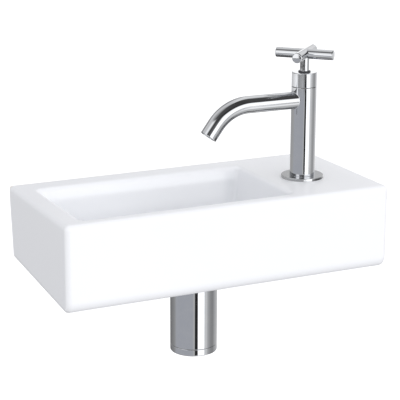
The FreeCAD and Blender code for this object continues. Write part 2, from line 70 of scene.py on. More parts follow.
def make(name, verts, faces, sharp=32.0, clean=True):
    """An object from points in millimetres, normals outwards, smooth but for edges sharper than the angle."""
    me = bpy.data.meshes.new(name)
    me.from_pydata([PLACE @ Vector(v) for v in verts], [], faces)
    ob = bpy.data.objects.new(name, me)
    scene.collection.objects.link(ob)
    bm = bmesh.new()
    bm.from_mesh(me)
    if clean:
        bmesh.ops.remove_doubles(bm, verts=bm.verts, dist=2e-7)
        bmesh.ops.dissolve_degenerate(bm, dist=1e-7, edges=bm.edges)
    bmesh.ops.recalc_face_normals(bm, faces=bm.faces)
    bm.to_mesh(me)
    bm.free()
    shade(ob, sharp)
    return ob


def shade(ob, sharp):
    me = ob.data
    me.polygons.foreach_set("use_smooth", [True] * len(me.polygons))
    me.set_sharp_from_angle(angle=rad(sharp))
    me.update()


def soften(points, radius=0.3, steps=3):
    """Rounds a closed profile's corners. A point is (r, h) or (r, h, its own radius). Points just outside each round keep the flats flat."""
    out, n = [], len(points)
    for i, p in enumerate(points):
        x, y = p[0], p[1]
        rr = p[2] if len(p) > 2 else radius
        a = Vector((points[i - 1][0] - x, points[i - 1][1] - y))
        b = Vector((points[(i + 1) % n][0] - x, points[(i + 1) % n][1] - y))
        la, lb = a.length, b.length
        if x < 1e-6 or rr <= 0 or la < 1e-6 or lb < 1e-6:
            out.append((x, y))
            continue
        a, b = a / la, b / lb
        angle = a.angle(b)
        if angle > rad(176):
            out.append((x, y))
            continue
        t = min(rr / math.tan(angle / 2), la * 0.4, lb * 0.4)
        rr = t * math.tan(angle / 2)
        c = Vector((x, y)) + (a + b).normalized() * (rr / math.sin(angle / 2))
        p0, p1 = Vector((x, y)) + a * t, Vector((x, y)) + b * t
        v0, v1 = p0 - c, p1 - c
        turn = math.atan2(v0.x * v1.y - v0.y * v1.x, v0.dot(v1))
        out.append(tuple(p0 + a * min(0.35 * t + 0.03, la * 0.08)))
        for k in range(steps + 1):
            s, q = math.sin(turn * k / steps), math.cos(turn * k / steps)
            out.append((c.x + v0.x * q - v0.y * s, c.y + v0.x * s + v0.y * q))
        out.append(tuple(p1 + b * min(0.35 * t + 0.03, lb * 0.08)))
    return out


def lathe(profile, segs=128, shape=None, closed=True):
    """Verts and faces of a profile turned about Z. shape(r, h, angle) may change the radius."""
    verts, rings = [], []
    for r, h in profile:
        if r < 1e-6:
            rings.append([len(verts)])
            verts.append((0.0, 0.0, h))
            continue
        ring = []
        for j in range(segs):
            a = 2 * math.pi * j / segs
            q = shape(r, h, a) if shape else r
            ring.append(len(verts))
            verts.append((q * math.cos(a), q * math.sin(a), h))
        rings.append(ring)
    faces, n = [], len(rings)
    for i in range(n if closed else n - 1):
        a, b = rings[i], rings[(i + 1) % n]
        if len(a) == 1 and len(b) == 1:
            continue
        for j in range(segs):
            k = (j + 1) % segs
            if len(a) == 1:
                faces.append((a[0], b[j], b[k]))
            elif len(b) == 1:
                faces.append((a[j], b[0], a[k]))
            else:
                faces.append((a[j], b[j], b[k], a[k]))
    return verts, faces


def at(x, y, z=0.0):
    return Matrix.Translation((x, y, z))


def along(p, d):
    """Places a turned shape's Z along direction d at point p."""
    return Matrix.Translation(p) @ Vector(d).to_track_quat("Z", "Y").to_matrix().to_4x4()


def moved(shape, m):
    return [tuple(m @ Vector(v)) for v in shape[0]], shape[1]


def joined(*shapes):
    verts, faces = [], []
    for v, f in shapes:
        k = len(verts)
        verts += v
        faces += [tuple(i + k for i in face) for face in f]
    return verts, faces


def loops(rows, cap_first=True, cap_last=True):
    """Skin over closed rows of points with the same count."""
    n = len(rows[0])
    verts = [tuple(p) for row in rows for p in row]
    faces = []
    for i in range(len(rows) - 1):
        for j in range(n):
            k = (j + 1) % n
            faces.append((i * n + j, i * n + k, (i + 1) * n + k, (i + 1) * n + j))
    if cap_first:
        faces.append(tuple(reversed(range(n))))
    if cap_last:
        faces.append(tuple((len(rows) - 1) * n + j for j in range(n)))
    return verts, faces


def boolean(ob, cutter, operation="DIFFERENCE"):
    m = ob.modifiers.new("cut", "BOOLEAN")
    m.operation, m.solver, m.object = operation, "EXACT", cutter
    m.material_mode = "TRANSFER"
    bpy.context.view_layer.update()
    dg = bpy.context.evaluated_depsgraph_get()
    me = bpy.data.meshes.new_from_object(ob.evaluated_get(dg), preserve_all_data_layers=True, depsgraph=dg)
    ob.modifiers.clear()
    old = ob.data
    ob.data = me
    me.name = old.name
    bpy.data.meshes.remove(old)
    gone = cutter.data
    bpy.data.objects.remove(cutter)
    bpy.data.meshes.remove(gone)
    return ob


# ======================================================================================
# Materials
# ======================================================================================
class Nodes:
    """Short names for the nodes that every material here uses."""

    def __init__(self, name):
        self.mat = bpy.data.materials.new(name)
        self.mat.use_nodes = True
        self.t = self.mat.node_tree
        self.bsdf = self.t.nodes["Principled BSDF"]
        self.coord = self.add("ShaderNodeTexCoord").outputs["Object"]

    def add(self, kind, **sets):
        n = self.t.nodes.new(kind)
        for k, v in sets.items():
            setattr(n, k, v)
        return n

    def link(self, a, b):
        self.t.links.new(a, b)

    def put(self, socket, value):
        if isinstance(value, (int, float)):
            socket.default_value = value
        elif isinstance(value, (tuple, list)):
            socket.default_value = value
        else:
            self.link(value, socket)

    def stretched(self, scale, turn=(0, 0, 0)):
        m = self.add("ShaderNodeMapping")
        m.inputs["Scale"].default_value = scale
        m.inputs["Rotation"].default_value = turn
        self.link(self.coord, m.inputs["Vector"])
        return m.outputs["Vector"]

    def noise(self, scale, detail=3.0, rough=0.5, distort=0.0, vector=None):
        n = self.add("ShaderNodeTexNoise")
        n.inputs["Scale"].default_value = scale
        n.inputs["Detail"].default_value = detail
        n.inputs["Roughness"].default_value = rough
        n.inputs["Distortion"].default_value = distort
        self.link(vector or self.coord, n.inputs["Vector"])
        return n.outputs["Fac"]

    def math(self, op, a, b=0.0, c=0.0, clamp=False):
        n = self.add("ShaderNodeMath", operation=op, use_clamp=clamp)
        self.put(n.inputs[0], a)
        self.put(n.inputs[1], b)
        self.put(n.inputs[2], c)
        return n.outputs[0]

    def span(self, value, a, b, lo=0.0, hi=1.0, ease=True):
        n = self.add("ShaderNodeMapRange", interpolation_type="SMOOTHSTEP" if ease else "LINEAR")
        self.put(n.inputs["Value"], value)
        n.inputs["From Min"].default_value, n.inputs["From Max"].default_value = a, b
        n.inputs["To Min"].default_value, n.inputs["To Max"].default_value = lo, hi
        return n.outputs["Result"]

    def mix(self, fac, a, b):
        n = self.add("ShaderNodeMix", data_type="RGBA")
        self.put(n.inputs[0], fac)
        self.put(n.inputs[6], a)
        self.put(n.inputs[7], b)
        return n.outputs[2]

    def bump(self, height, strength, distance, normal=None):
        n = self.add("ShaderNodeBump")
        n.inputs["Strength"].default_value = strength
        n.inputs["Distance"].default_value = distance
        self.link(height, n.inputs["Height"])
        if normal is not None:
            self.link(normal, n.inputs["Normal"])
        return n.outputs["Normal"]

    def set(self, **values):
        for k, v in values.items():
            self.put(self.bsdf.inputs[k.replace("_", " ")], v)


def col(r, g, b):
    return (r, g, b, 1.0)


def glaze(name, thin=False):
    """Fired white glaze over a white clay body. Against the wall and on the underside the clay is bare. Inside the
    bowl, light and shade are painted into the glaze colour: lighter on the upper back and left walls, darker on the
    right wall and lower down.
    """
    n = Nodes(name)
    cloud = n.noise(9.0, 3.0, 0.55)
    wave = n.noise(34.0, 2.0, 0.4)
    peel = n.noise(130.0, 1.0, 0.4)
    body = n.mix(n.math("MULTIPLY_ADD", cloud, 1.5, -0.25), col(0.893, 0.901, 0.917), col(0.911, 0.917, 0.928))
    xyz = n.add("ShaderNodeSeparateXYZ")
    n.link(n.coord, xyz.inputs[0])
    ragged = n.math("MULTIPLY_ADD", n.noise(120.0, 4.0, 0.6), 0.0022, -0.0011)
    back = n.span(n.math("ADD", xyz.outputs["Y"], ragged), -0.0019, -0.0012)
    plane = n.math("SUBTRACT", n.math("SUBTRACT", xyz.outputs["Z"], (60.0 - H + RISE) / 1000),
                   n.math("MULTIPLY", xyz.outputs["Y"], RISE / D))
    foot = n.span(n.math("ADD", plane, ragged), 0.0009, 0.0003)
    bare = n.math("MAXIMUM", back, foot)
    grit = n.noise(900.0, 4.0, 0.7)
    rub = n.noise(60.0, 3.0, 0.6, 0.0, n.stretched((1.0, 1.0, 9.0)))
    clay = n.mix(n.span(grit, 0.3, 0.75), col(0.74, 0.715, 0.675), col(0.83, 0.81, 0.78))
    clay = n.mix(n.span(rub, 0.55, 0.8), clay, col(0.66, 0.64, 0.61))
    edges = [n.math("SUBTRACT", xyz.outputs["X"], (BX0 - 3 - W / 2) / 1000), n.math("SUBTRACT", (BX1 + 3 - W / 2) / 1000, xyz.outputs["X"]),
             n.math("SUBTRACT", xyz.outputs["Y"], (BY0 - 3 - D) / 1000), n.math("SUBTRACT", (BY1 + 3 - D) / 1000, xyz.outputs["Y"])]
    within = n.math("MINIMUM", n.math("MINIMUM", edges[0], edges[1]), n.math("MINIMUM", edges[2], edges[3]))
    # painted light and shade inside the bowl below the rim: the glaze colour is made lighter (0.945) on the upper back
    # and left walls, where the light falls, and darker (0.868) on the right wall and lower in the bowl, which lie in
    # shade
    bowl_painted_shading = n.math("MULTIPLY", n.span(within, 0.0, 0.003), n.span(xyz.outputs["Z"], 0.0598, 0.0550))
    painted_lit_upper_walls = n.math("MULTIPLY", n.span(xyz.outputs["X"], 0.068, 0.054), n.span(xyz.outputs["Z"], 0.012, 0.034))
    body = n.mix(bowl_painted_shading, body, n.mix(painted_lit_upper_walls, col(0.868, 0.878, 0.897), col(0.945, 0.953, 0.965)))
    n.set(Base_Color=n.mix(bare, body, clay))
    gloss = n.math("MULTIPLY_ADD", n.noise(30.0, 1.0, 0.4), 0.08 if not thin else 0.28, 0.26 if not thin else 0.27)
    n.set(Roughness=n.math("ADD", gloss, n.math("MULTIPLY", bare, 0.62)))
    b = n.bump(wave, 0.06 if not thin else 0.35, 0.0006)
    b = n.bump(peel, 0.012 if not thin else 0.16, 0.0002, b)
    b = n.bump(n.math("MULTIPLY", grit, bare), 0.55, 0.00025, b)
    n.set(Normal=b)
    n.bsdf.inputs["IOR"].default_value = 1.48
    n.bsdf.inputs["Specular IOR Level"].default_value = 0.34 if not thin else 0.3
    n.bsdf.inputs["Subsurface Weight"].default_value = 0.0
    return n.mat


def chrome(name, dull=0.0):
    """Polished plating: a very slightly uneven mirror with fine wiping marks."""
    n = Nodes(name)
    haze = n.noise(85.0, 4.0, 0.6)
    wipe = n.noise(700.0, 2.0, 0.5, 0.0, n.stretched((1.0, 1.0, 0.06)))
    n.set(Base_Color=n.mix(n.span(haze, 0.3, 0.75), col(0.735, 0.750, 0.780), col(0.770, 0.780, 0.800)))
    r = n.math("MULTIPLY_ADD", n.span(haze, 0.35, 0.8), 0.022, 0.028 + dull)
    r = n.math("MULTIPLY_ADD", n.span(wipe, 0.52, 0.8), 0.03, r)
    n.set(Roughness=r)
    b = n.bump(n.noise(28.0, 1.0, 0.4), 0.05, 0.0004)
    b = n.bump(wipe, 0.012, 0.00005, b)
    n.set(Normal=b)
    n.bsdf.inputs["Metallic"].default_value = 1.0
    return n.mat


def brass(name):
    """Turned brass: fine tool lines round the part, a little darkened in places."""
    n = Nodes(name)
    tarnish = n.noise(130.0, 4.0, 0.6)
    lines = n.noise(60.0, 3.0, 0.6, 0.0, n.stretched((1.0, 1.0, 90.0)))
    base = n.mix(n.span(tarnish, 0.25, 0.75), col(0.66, 0.49, 0.24), col(0.78, 0.62, 0.34))
    n.set(Base_Color=n.mix(n.span(lines, 0.6, 0.8), base, col(0.55, 0.41, 0.21)))
    n.set(Roughness=n.span(tarnish, 0.2, 0.8, 0.24, 0.40))
    n.set(Normal=n.bump(lines, 0.25, 0.0001))
    n.bsdf.inputs["Metallic"].default_value = 1.0
    return n.mat


def steel(name):
    n = Nodes(name)
    grain = n.noise(420.0, 3.0, 0.6, 0.0, n.stretched((1.0, 0.08, 1.0)))
    patch = n.noise(90.0, 3.0, 0.5)
    n.set(Base_Color=n.mix(n.span(patch, 0.3, 0.7), col(0.56, 0.57, 0.58), col(0.66, 0.67, 0.68)))
    n.set(Roughness=n.span(grain, 0.2, 0.8, 0.22, 0.38))
    n.set(Normal=n.bump(grain, 0.12, 0.0001))
    n.bsdf.inputs["Metallic"].default_value = 1.0
    return n.mat


def rubber(name):
    n = Nodes(name)
    bloom = n.noise(150.0, 4.0, 0.6)
    pore = n.noise(1800.0, 2.0, 0.6)
    n.set(Base_Color=n.mix(n.span(bloom, 0.35, 0.8), col(0.020, 0.020, 0.021), col(0.060, 0.060, 0.062)))
    n.set(Roughness=n.span(bloom, 0.2, 0.8, 0.55, 0.78))
    n.set(Normal=n.bump(pore, 0.22, 0.0001))
    return n.mat


def plastic(name, dark, light, rough):
    n = Nodes(name)
    flow = n.noise(70.0, 3.0, 0.5, 0.4)
    skin = n.noise(1500.0, 2.0, 0.5)
    n.set(Base_Color=n.mix(n.span(flow, 0.3, 0.7), dark, light))
    n.set(Roughness=n.span(flow, 0.2, 0.8, rough - 0.06, rough + 0.06))
    n.set(Normal=n.bump(skin, 0.10, 0.00008))
    n.bsdf.inputs["Specular IOR Level"].default_value = 0.45
    return n.mat


MATERIALS = {
    "glaze": glaze("white_glaze"),
    "chrome": chrome("polished_chrome"),
    "brass": brass("turned_brass"),
    "steel": steel("stamped_steel"),
    "rubber": rubber("black_rubber"),
    "disc": plastic("lapped_disc", col(0.84, 0.82, 0.76), col(0.90, 0.89, 0.84), 0.20),
    "white_plastic": plastic("moulded_white", col(0.78, 0.78, 0.76), col(0.85, 0.85, 0.83), 0.42),
    "dark_plastic": plastic("moulded_dark", col(0.030, 0.030, 0.034), col(0.052, 0.052, 0.058), 0.38),
}
THIN_GLAZE = glaze("thin_glaze", thin=True)

SLOT_OF = {s["node"]: s["material_slot"] for s in record["subparts"]}
BODY_OF = {n: b for b, members in record["behaviour"]["bodies"].items() for n in members}


def finish_piece(ob, node, *more, extra=()):
    """The piece stands for a CAD node: same body, same slot."""
    slot = SLOT_OF[node]
    kept = list(ob.data.materials)
    if not kept or None in kept:
        ob.data.materials.clear()
        ob.data.materials.append(MATERIALS[slot])
        ob.data.polygons.foreach_set("material_index", [0] * len(ob.data.polygons))
    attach(ob, BODY_OF[node])
    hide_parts(node, *more)
    return ob


# ======================================================================================
# Basin
# ======================================================================================
NF, NS, NC = 56, 28, 9
R_FOOT, R_SIDE, R_TOP, R_BACK, R_RIM = 14.0, 6.0, 5.4, 9.0, 6.0
APRON, DECK, SHELL = 10.0, 14.0, 9.0
B_CORNER, WALL_FOOT, R_FLOOR, FOOT_TURN, FLOOR_Z = 7.0, -45.0, 16.0, 80.0, -66.5
TAPER = (6.0, 11.0, 2.5, 8.0)   # left, right, front, back
BOLT_Z, BOLT_R, BOLT_SPACING = -60.0, 7.0, 200.0


def outline(x0, x1, y0, y1, r, rb=None, n=(NF, NS, NC)):
    """Rounded rectangle seen from above, with how much of each side (left, right, front, back) a point belongs to."""
    rb = r if rb is None else rb
    nf, ns, nc = n
    pts, share = [], []

    def run(ax, ay, bx, by, count, s):
        for i in range(count):
            pts.append((lerp(ax, bx, i / count), lerp(ay, by, i / count)))
            share.append(s)

    def turn(cx, cy, q, start, s, e):
        for i in range(nc):
            a = rad(start + 90.0 * i / nc)
            k = math.sin(rad(90.0 * i / nc)) ** 2
            pts.append((cx + q * math.cos(a), cy + q * math.sin(a)))
            share.append(tuple(lerp(u, v, k) for u, v in zip(s, e)))

    L, R, F, B = (1, 0, 0, 0), (0, 1, 0, 0), (0, 0, 1, 0), (0, 0, 0, 1)
    run(x0 + r, y0, x1 - r, y0, nf, F)
    turn(x1 - r, y0 + r, r, -90, F, R)
    run(x1, y0 + r, x1, y1 - rb, ns, R)
    turn(x1 - rb, y1 - rb, rb, 0, R, B)
    run(x1 - rb, y1, x0 + rb, y1, nf, B)
    turn(x0 + rb, y1 - rb, rb, 90, B, L)
    run(x0, y1 - rb, x0, y0 + r, ns, L)
    turn(x0 + r, y0 + r, r, 180, L, F)
    return pts, share


def base(y):
    return -H + RISE * y / D


def bottom(y):
    """Height of the underside, with the round of the lower front edge."""
    k = R_FOOT * 1.09
    return base(y) + (k - math.sqrt(max(0.0, k * k - max(0.0, k - y) ** 2))) * 0.92


def relieved(x, y, z):
    """The rear lower corners of both sides are taken off: nothing near the top, about a centimetre at the bottom."""
    e = 9.5 * max(0.0, (-8.0 - z) / 82.0)
    w = 12.0 * max(0.0, (-8.0 - z) / 82.0)
    from_side = min(x, W - x)
    if w < 1e-6 or from_side >= w:
        return x, y, z
    return x, min(y, D - e * (1 - from_side / w)), z


def outer_rows():
    """Block from the underside's edge up the walls and over the top edge."""
    rows = []
    heights = [0.0, 0.08, 0.3, 0.7, 1.2, 1.8, 2.4, 3.2, 4.0, 5.0, 6.0, 7.2, 8.4, 9.6, 11.0, 12.5, 14.0, 15.6]
    foot = R_FOOT * 1.09
    for h in heights:
        i = R_SIDE - math.sqrt(max(0.0, R_SIDE ** 2 - max(0.0, R_SIDE - h) ** 2))
        k = R_BACK - math.sqrt(max(0.0, R_BACK ** 2 - max(0.0, R_BACK - h) ** 2))
        f = R_FOOT * (1 - math.sqrt(max(0.0, 1 - max(0.0, 1 - h / foot) ** 2)))
        pts, _ = outline(i, W - i, f, D - k, max(R_SIDE - i, 0.6), 1.0)
        row = [relieved(x, y, base(y) + h) for x, y in pts]
        rows.append([(x, y, base(y) + h) for x, y, _ in row])
    first = rows[-1]
    last = [(x, y, -R_TOP - 0.5) for (x, y) in outline(0.0, W, 0.0, D, R_SIDE, 1.0)[0]]
    steps = 12
    for s in range(1, steps + 1):
        rows.append([relieved(b[0], b[1], lerp(a[2], b[2], s / steps)) for a, b in zip(first, last)])
    for s in range(0, 9):
        a = rad(90.0 * s / 8)
        i = R_TOP * (1 - math.cos(a))
        j = 0.5 * (1 - math.cos(a))
        pts, share = outline(i, W - i, i, D - j, R_SIDE - i, 1.0 - j)
        rows.append([(x, y, lerp(-R_TOP + R_TOP * math.sin(a), -0.5 + 0.5 * math.sin(a), share[m][3])) for m, (x, y) in enumerate(pts)])
    return rows


def bowl_rows():
    """From the deck over the rim, down the leaning walls, round the foot, over the floor and into the waste's recess."""
    lean = [math.atan2(t, -WALL_FOOT) for t in TAPER]
    rows = []

    def row(out, zs, r):
        pts, share = outline(BX0 - out[0], BX1 + out[1], BY0 - out[2], BY1 + out[3], r)
        return [(x, y, sum(s * z for s, z in zip(share[m], zs))) for m, (x, y) in enumerate(pts)]

    for i in range(0, 11):
        f = i / 10
        out, zs = [], []
        for q in lean:
            a = f * (math.pi / 2 - q)
            oc = R_RIM * (1 - math.sin(q)) / math.cos(q)
            out.append(oc - R_RIM * math.sin(a))
            zs.append(-R_RIM + R_RIM * math.cos(a))
        rows.append(row(out, zs, B_CORNER + sum(out) / 4))
    end_z = [-R_RIM + R_RIM * math.sin(q) for q in lean]
    foot_z = [WALL_FOOT - R_FLOOR * math.sin(rad(FOOT_TURN)) + R_FLOOR * (math.sin(rad(FOOT_TURN)) - math.sin(q)) for q in lean]
    for i in range(1, 11):
        f = i / 10
        zs = [lerp(a, b, f) for a, b in zip(end_z, foot_z)]
        out = [z * math.tan(q) for z, q in zip(zs, lean)]
        rows.append(row(out, zs, B_CORNER + 2.0 * f))
    base = [z * math.tan(q) for z, q in zip(foot_z, lean)]
    for i in range(1, 11):
        f = i / 10
        out, zs = [], []
        for q, o, z in zip(lean, base, foot_z):
            a = lerp(q, rad(FOOT_TURN), f)
            out.append(o - R_FLOOR * (math.cos(q) - math.cos(a)))
            zs.append(z - R_FLOOR * (math.sin(a) - math.sin(q)))
        rows.append(row(out, zs, B_CORNER + 2.0 - 4.0 * (1 - math.cos(rad(FOOT_TURN) * f))))
    rim = rows[-1]
    ring = []
    for x, y, z in rim:
        a = math.atan2(y - WY, x - WX)
        ring.append((WX + 35.5 * math.cos(a), WY + 35.5 * math.sin(a), FLOOR_Z))
    steps = 12
    for i in range(1, steps + 1):
        f = i / steps
        drop = 0.7 * math.sin(math.pi * f) ** 2
        rows.append([tuple(lerp(u, v, f) if k < 2 else lerp(u, v, f) - drop * (1 - f) for k, (u, v) in enumerate(zip(a, b))) for a, b in zip(rim, ring)])
    for r, z in ((34.2, FLOOR_Z), (33.8, FLOOR_Z - 0.03), (33.35, FLOOR_Z - 0.2), (33.08, FLOOR_Z - 0.5), (33.0, FLOOR_Z - 0.9), (33.0, FLOOR_Z - 2.1), (32.8, FLOOR_Z - 2.45),
                 (32.3, FLOOR_Z - 2.5), (23.6, FLOOR_Z - 2.5), (22.9, FLOOR_Z - 2.6), (22.55, FLOOR_Z - 3.0), (22.5, FLOOR_Z - 3.6), (22.5, FLOOR_Z - 8.5)):
        rows.append([(WX + (x - WX) * r / 35.5, WY + (y - WY) * r / 35.5, z) for x, y, _ in ring])
    return rows


def uneven(x, y, z):
    """Fired clay is never quite flat: a slow wander of about a tenth of a millimetre, none where the fittings seat."""
    k = smooth((math.hypot(x - TX, y - TY) - 30.0) / 25.0) * smooth((math.hypot(x - WX, y - WY) - 36.0) / 20.0)
    k *= smooth((D - y) / 6.0)
    n = noise.noise_vector(Vector((x, y, z)) * 0.013) * 0.16 * k
    return x + n.x, y + n.y, z + n.z


outer, inner = outer_rows(), bowl_rows()
deck = []
for i in range(1, 14):
    deck.append([tuple(lerp(u, v, i / 14) for u, v in zip(a, b)) for a, b in zip(outer[-1], inner[0])])
rows = [[uneven(*p) for p in row] for row in outer + deck + inner]
basin = make("glazed_basin", *loops(rows))
basin.data.materials.append(MATERIALS["glaze"])
basin.data.materials.append(THIN_GLAZE)


def cavity_rows():
    rows = []
    n = (40, 20, 7)
    for s in range(0, 7):
        a = rad(90.0 - 15.0 * s)
        i = 6.0 * (1 - math.cos(a))
        pts, _ = outline(APRON + i, W - APRON - i, APRON + i, D - APRON - i, 7.0 - i, None, n)
        rows.append([(x, y, -DECK - 6.0 + 6.0 * math.sin(a)) for x, y in pts])
    top = rows[-1]
    steps = 10
    for s in range(1, steps + 1):
        rows.append([(x, y, lerp(z, bottom(y) + 3.0, s / steps)) for x, y, z in top])
    for s in range(1, 7):
        a = rad(12.0 * s)
        o = 2.6 * (1 - math.cos(a))
        pts, _ = outline(APRON - o, W - APRON + o, APRON - o, D - APRON + o, 7.0 + o, None, n)
        rows.append([(x, y, bottom(y) + 3.0 - 2.85 * math.sin(a)) for x, y in pts])
    o += 3.0
    pts, _ = outline(APRON - o, W - APRON + o, APRON - o, D - APRON + o, 7.0 + o, None, n)
    rows.append([(x, y, bottom(y) - 1.2) for x, y in pts])
    rows.append([(x, y, base(y) - 6.0) for x, y in pts])
    return rows


def shell_rows():
    """The bowl seen from below."""
    n = (40, 20, 9)
    rows = []

    def level(z, a, flat):
        t = z / WALL_FOOT
        inset = R_FLOOR * (1 - math.cos(a)) - SHELL * math.cos(a)
        drop = (R_FLOOR + 10.0) * math.sin(a)
        pts, _ = outline(BX0 + TAPER[0] * t + inset, BX1 - TAPER[1] * t - inset, BY0 + TAPER[2] * t + inset, BY1 - TAPER[3] * t - inset, flat, None, n)
        return [(x, y, z - drop) for x, y in pts]

    for i in range(7):
        z = lerp(4.0, WALL_FOOT, i / 6)
        rows.append(level(z, 0.0, B_CORNER + SHELL))
    for i in range(1, 11):
        a = rad(FOOT_TURN * i / 10)
        rows.append(level(WALL_FOOT, a, B_CORNER + SHELL * math.cos(a) + 2.0 - 4.0 * (1 - math.cos(a))))
    edge = rows[-1]
    for i in range(1, 7):
        f = i / 6
        rows.append([(lerp(x, WX + 37.0 * math.cos(math.atan2(y - WY, x - WX)), f), lerp(y, WY + 37.0 * math.sin(math.atan2(y - WY, x - WX)), f), lerp(z, FLOOR_Z - 10.0, f)) for x, y, z in edge])
    return rows


cavity = make("cavity", *loops(cavity_rows()))
cavity.data.materials.append(THIN_GLAZE)
shell = make("shell", *loops(shell_rows()))
shell.data.materials.append(THIN_GLAZE)
boolean(cavity, shell)
boss = make("boss", *moved(lathe([(0, -79.5), (35.6, -79.5), (37.2, -79.0), (38.0, -77.4), (39.2, -75.2), (39.2, -8.0), (0, -8.0)], 96), at(WX, WY)))
boss.data.materials.append(THIN_GLAZE)
boolean(cavity, boss)
boolean(basin, cavity)


def hole(r, p, d, length, segs=72):
    ob = make("hole", *moved(lathe([(0, 0), (r, 0), (r, length), (0, length)], segs), along(p, d)))
    ob.data.materials.append(THIN_GLAZE)
    return ob


boolean(basin, hole(22.3, (WX, WY, -120.0), (0, 0, 1), 48.0))
boolean(basin, hole(16.0, (TX, TY, -30.0), (0, 0, 1), 40.0))
for side in (-1, 1):
    boolean(basin, hole(BOLT_R, (W / 2 + side * BOLT_SPACING / 2, D - 30.0, BOLT_Z), (0, 1, 0), 45.0, 48))
shade(basin, 38.0)
basin.modifiers.new("flats", "WEIGHTED_NORMAL").keep_sharp = True
finish_piece(basin, "basin")

# ======================================================================================
# Tap
# ======================================================================================
TAIL_R, FLANGE_R, FLANGE_H, PILLAR_R, PILLAR_TOP, BONNET_TOP = 10.45, 24.0, 3.2, 14.15, 105.0, 121.5
WATERWAY_R, SPOUT_Z, SPOUT_R, SPOUT_BORE, SPOUT_ROOT = 4.5, 90.0, 9.7, 7.9, 11.2
HANDLE_Z, ARM_R, ARM_L, STEM_R = 142.0, 5.6, 33.2, 5.2

flange = make("base_flange", *moved(lathe(soften([
    (TAIL_R + 0.15, 0.0, 0.1), (19.0, 0.0, 0.1), (19.0, 1.2, 0.1), (22.0, 1.2, 0.1), (22.0, 0.0, 0.1), (FLANGE_R, 0.0, 0.30), (FLANGE_R, FLANGE_H, 0.35), (TAIL_R + 0.15, FLANGE_H, 0.2)], 0.3, 5), 160), at(TX, TY)))
finish_piece(flange, "tap_flange")

pillar = make("tap_pillar", *moved(lathe(soften([
    (8.0, FLANGE_H, 0.1), (PILLAR_R, FLANGE_H, 0.25), (PILLAR_R, PILLAR_TOP, 0.35), (TAIL_R, PILLAR_TOP, 0.2), (TAIL_R, 98.0, 0.1), (10.0, 98.0, 0.1), (10.0, 81.0, 0.1),
    (WATERWAY_R, 81.0, 0.2), (WATERWAY_R, FLANGE_H + 12, 0.2), (8.0, FLANGE_H + 12, 0.1)]), 160), at(TX, TY)))
boolean(pillar, make("way", *moved(lathe([(0, 0), (SPOUT_R - 0.05, 0), (SPOUT_R - 0.05, 30), (0, 30)], 96), along((TX, TY, SPOUT_Z), (-1, 0, 0)))))
shade(pillar, 32.0)
finish_piece(pillar, "tap_body")

# ---- spout: straight run, bend, straight end, with a small brazed fillet at the pillar ----
BEND_X, BEND_R, BEND, END = 245.0, 49.3, rad(53.3), 15.2


def spout_frame(s):
    """Point, direction and upward normal at distance s from the tap axis along the spout."""
    straight, bend = TX - BEND_X, BEND_R * BEND
    if s <= straight:
        return Vector((TX - s, TY, SPOUT_Z)), Vector((-1, 0, 0)), Vector((0, 0, 1))
    a = min((s - straight) / BEND_R, BEND)
    p = Vector((BEND_X - BEND_R * math.sin(a), TY, SPOUT_Z - BEND_R * (1 - math.cos(a))))
    d = Vector((-math.cos(a), 0, -math.sin(a)))
    if s > straight + bend:
        p = p + d * (s - straight - bend)
    return p, d, Vector((-math.sin(a), 0, math.cos(a)))


SPOUT_LENGTH = TX - BEND_X + BEND_R * BEND + END
TIP, TIP_DIR, _ = spout_frame(SPOUT_LENGTH)


def spout_ring(s, r, segs=96):
    p, d, up = spout_frame(s)
    side = d.cross(up)
    return [tuple(p + up * (r * math.cos(2 * math.pi * j / segs)) + side * (r * math.sin(2 * math.pi * j / segs))) for j in range(segs)]


def root_ring(r, reach, gap=0.0, segs=96):
    """Ring of radius r whose points lie on an upright cylinder of radius reach round the tap axis, moved out by gap."""
    out = []
    for j in range(segs):
        a = 2 * math.pi * j / segs
        y = -r * math.sin(a)
        out.append((TX - math.sqrt(reach * reach - y * y) - gap, TY - y, SPOUT_Z + r * math.cos(a)))
    return out


FILLET = 0.45
rows = [root_ring(SPOUT_BORE, SPOUT_ROOT), root_ring(SPOUT_BORE + 0.3, SPOUT_ROOT - 0.15), root_ring(SPOUT_R - 0.3, SPOUT_ROOT - 0.15), root_ring(SPOUT_R, SPOUT_ROOT), root_ring(SPOUT_R, PILLAR_R - 0.6),
        root_ring(SPOUT_R + FILLET, PILLAR_R - 0.25)]
for i in range(0, 8):
    a = rad(90.0 * i / 7)
    rows.append(root_ring(SPOUT_R + FILLET * (1 - math.sin(a)), PILLAR_R, FILLET * (1 - math.cos(a))))
for i in range(0, 5):
    rows.append(root_ring(SPOUT_R, PILLAR_R, lerp(FILLET + 0.3, 6.0, i / 4)))
for i in range(0, 12):
    rows.append(spout_ring(lerp(24.0, TX - BEND_X - 0.5, i / 11), SPOUT_R))
for i in range(0, 37):
    rows.append(spout_ring(TX - BEND_X + BEND_R * BEND * i / 36, SPOUT_R))
for i in range(1, 6):
    rows.append(spout_ring(SPOUT_LENGTH - END + (END - 0.8) * i / 5, SPOUT_R))
for i in range(1, 6):
    a = rad(90.0 * i / 5)
    rows.append(spout_ring(SPOUT_LENGTH - 0.35 + 0.35 * math.sin(a), SPOUT_R - 0.35 * (1 - math.cos(a))))
rows.append(spout_ring(SPOUT_LENGTH, 8.42))
rows.append(spout_ring(SPOUT_LENGTH - 0.06, 8.26))
rows.append(spout_ring(SPOUT_LENGTH - 0.22, 8.2))
rows.append(spout_ring(SPOUT_LENGTH - 0.6, 8.2))
for i in range(1, 6):
    rows.append(spout_ring(SPOUT_LENGTH - 0.6 - 8.6 * i / 5, 8.2))
rows.append(spout_ring(SPOUT_LENGTH - 9.4, 8.15))
rows.append(spout_ring(SPOUT_LENGTH - 9.4, SPOUT_BORE + 0.05))
rows.append(spout_ring(SPOUT_LENGTH - 9.6, SPOUT_BORE))
inside = SPOUT_LENGTH - 9.8
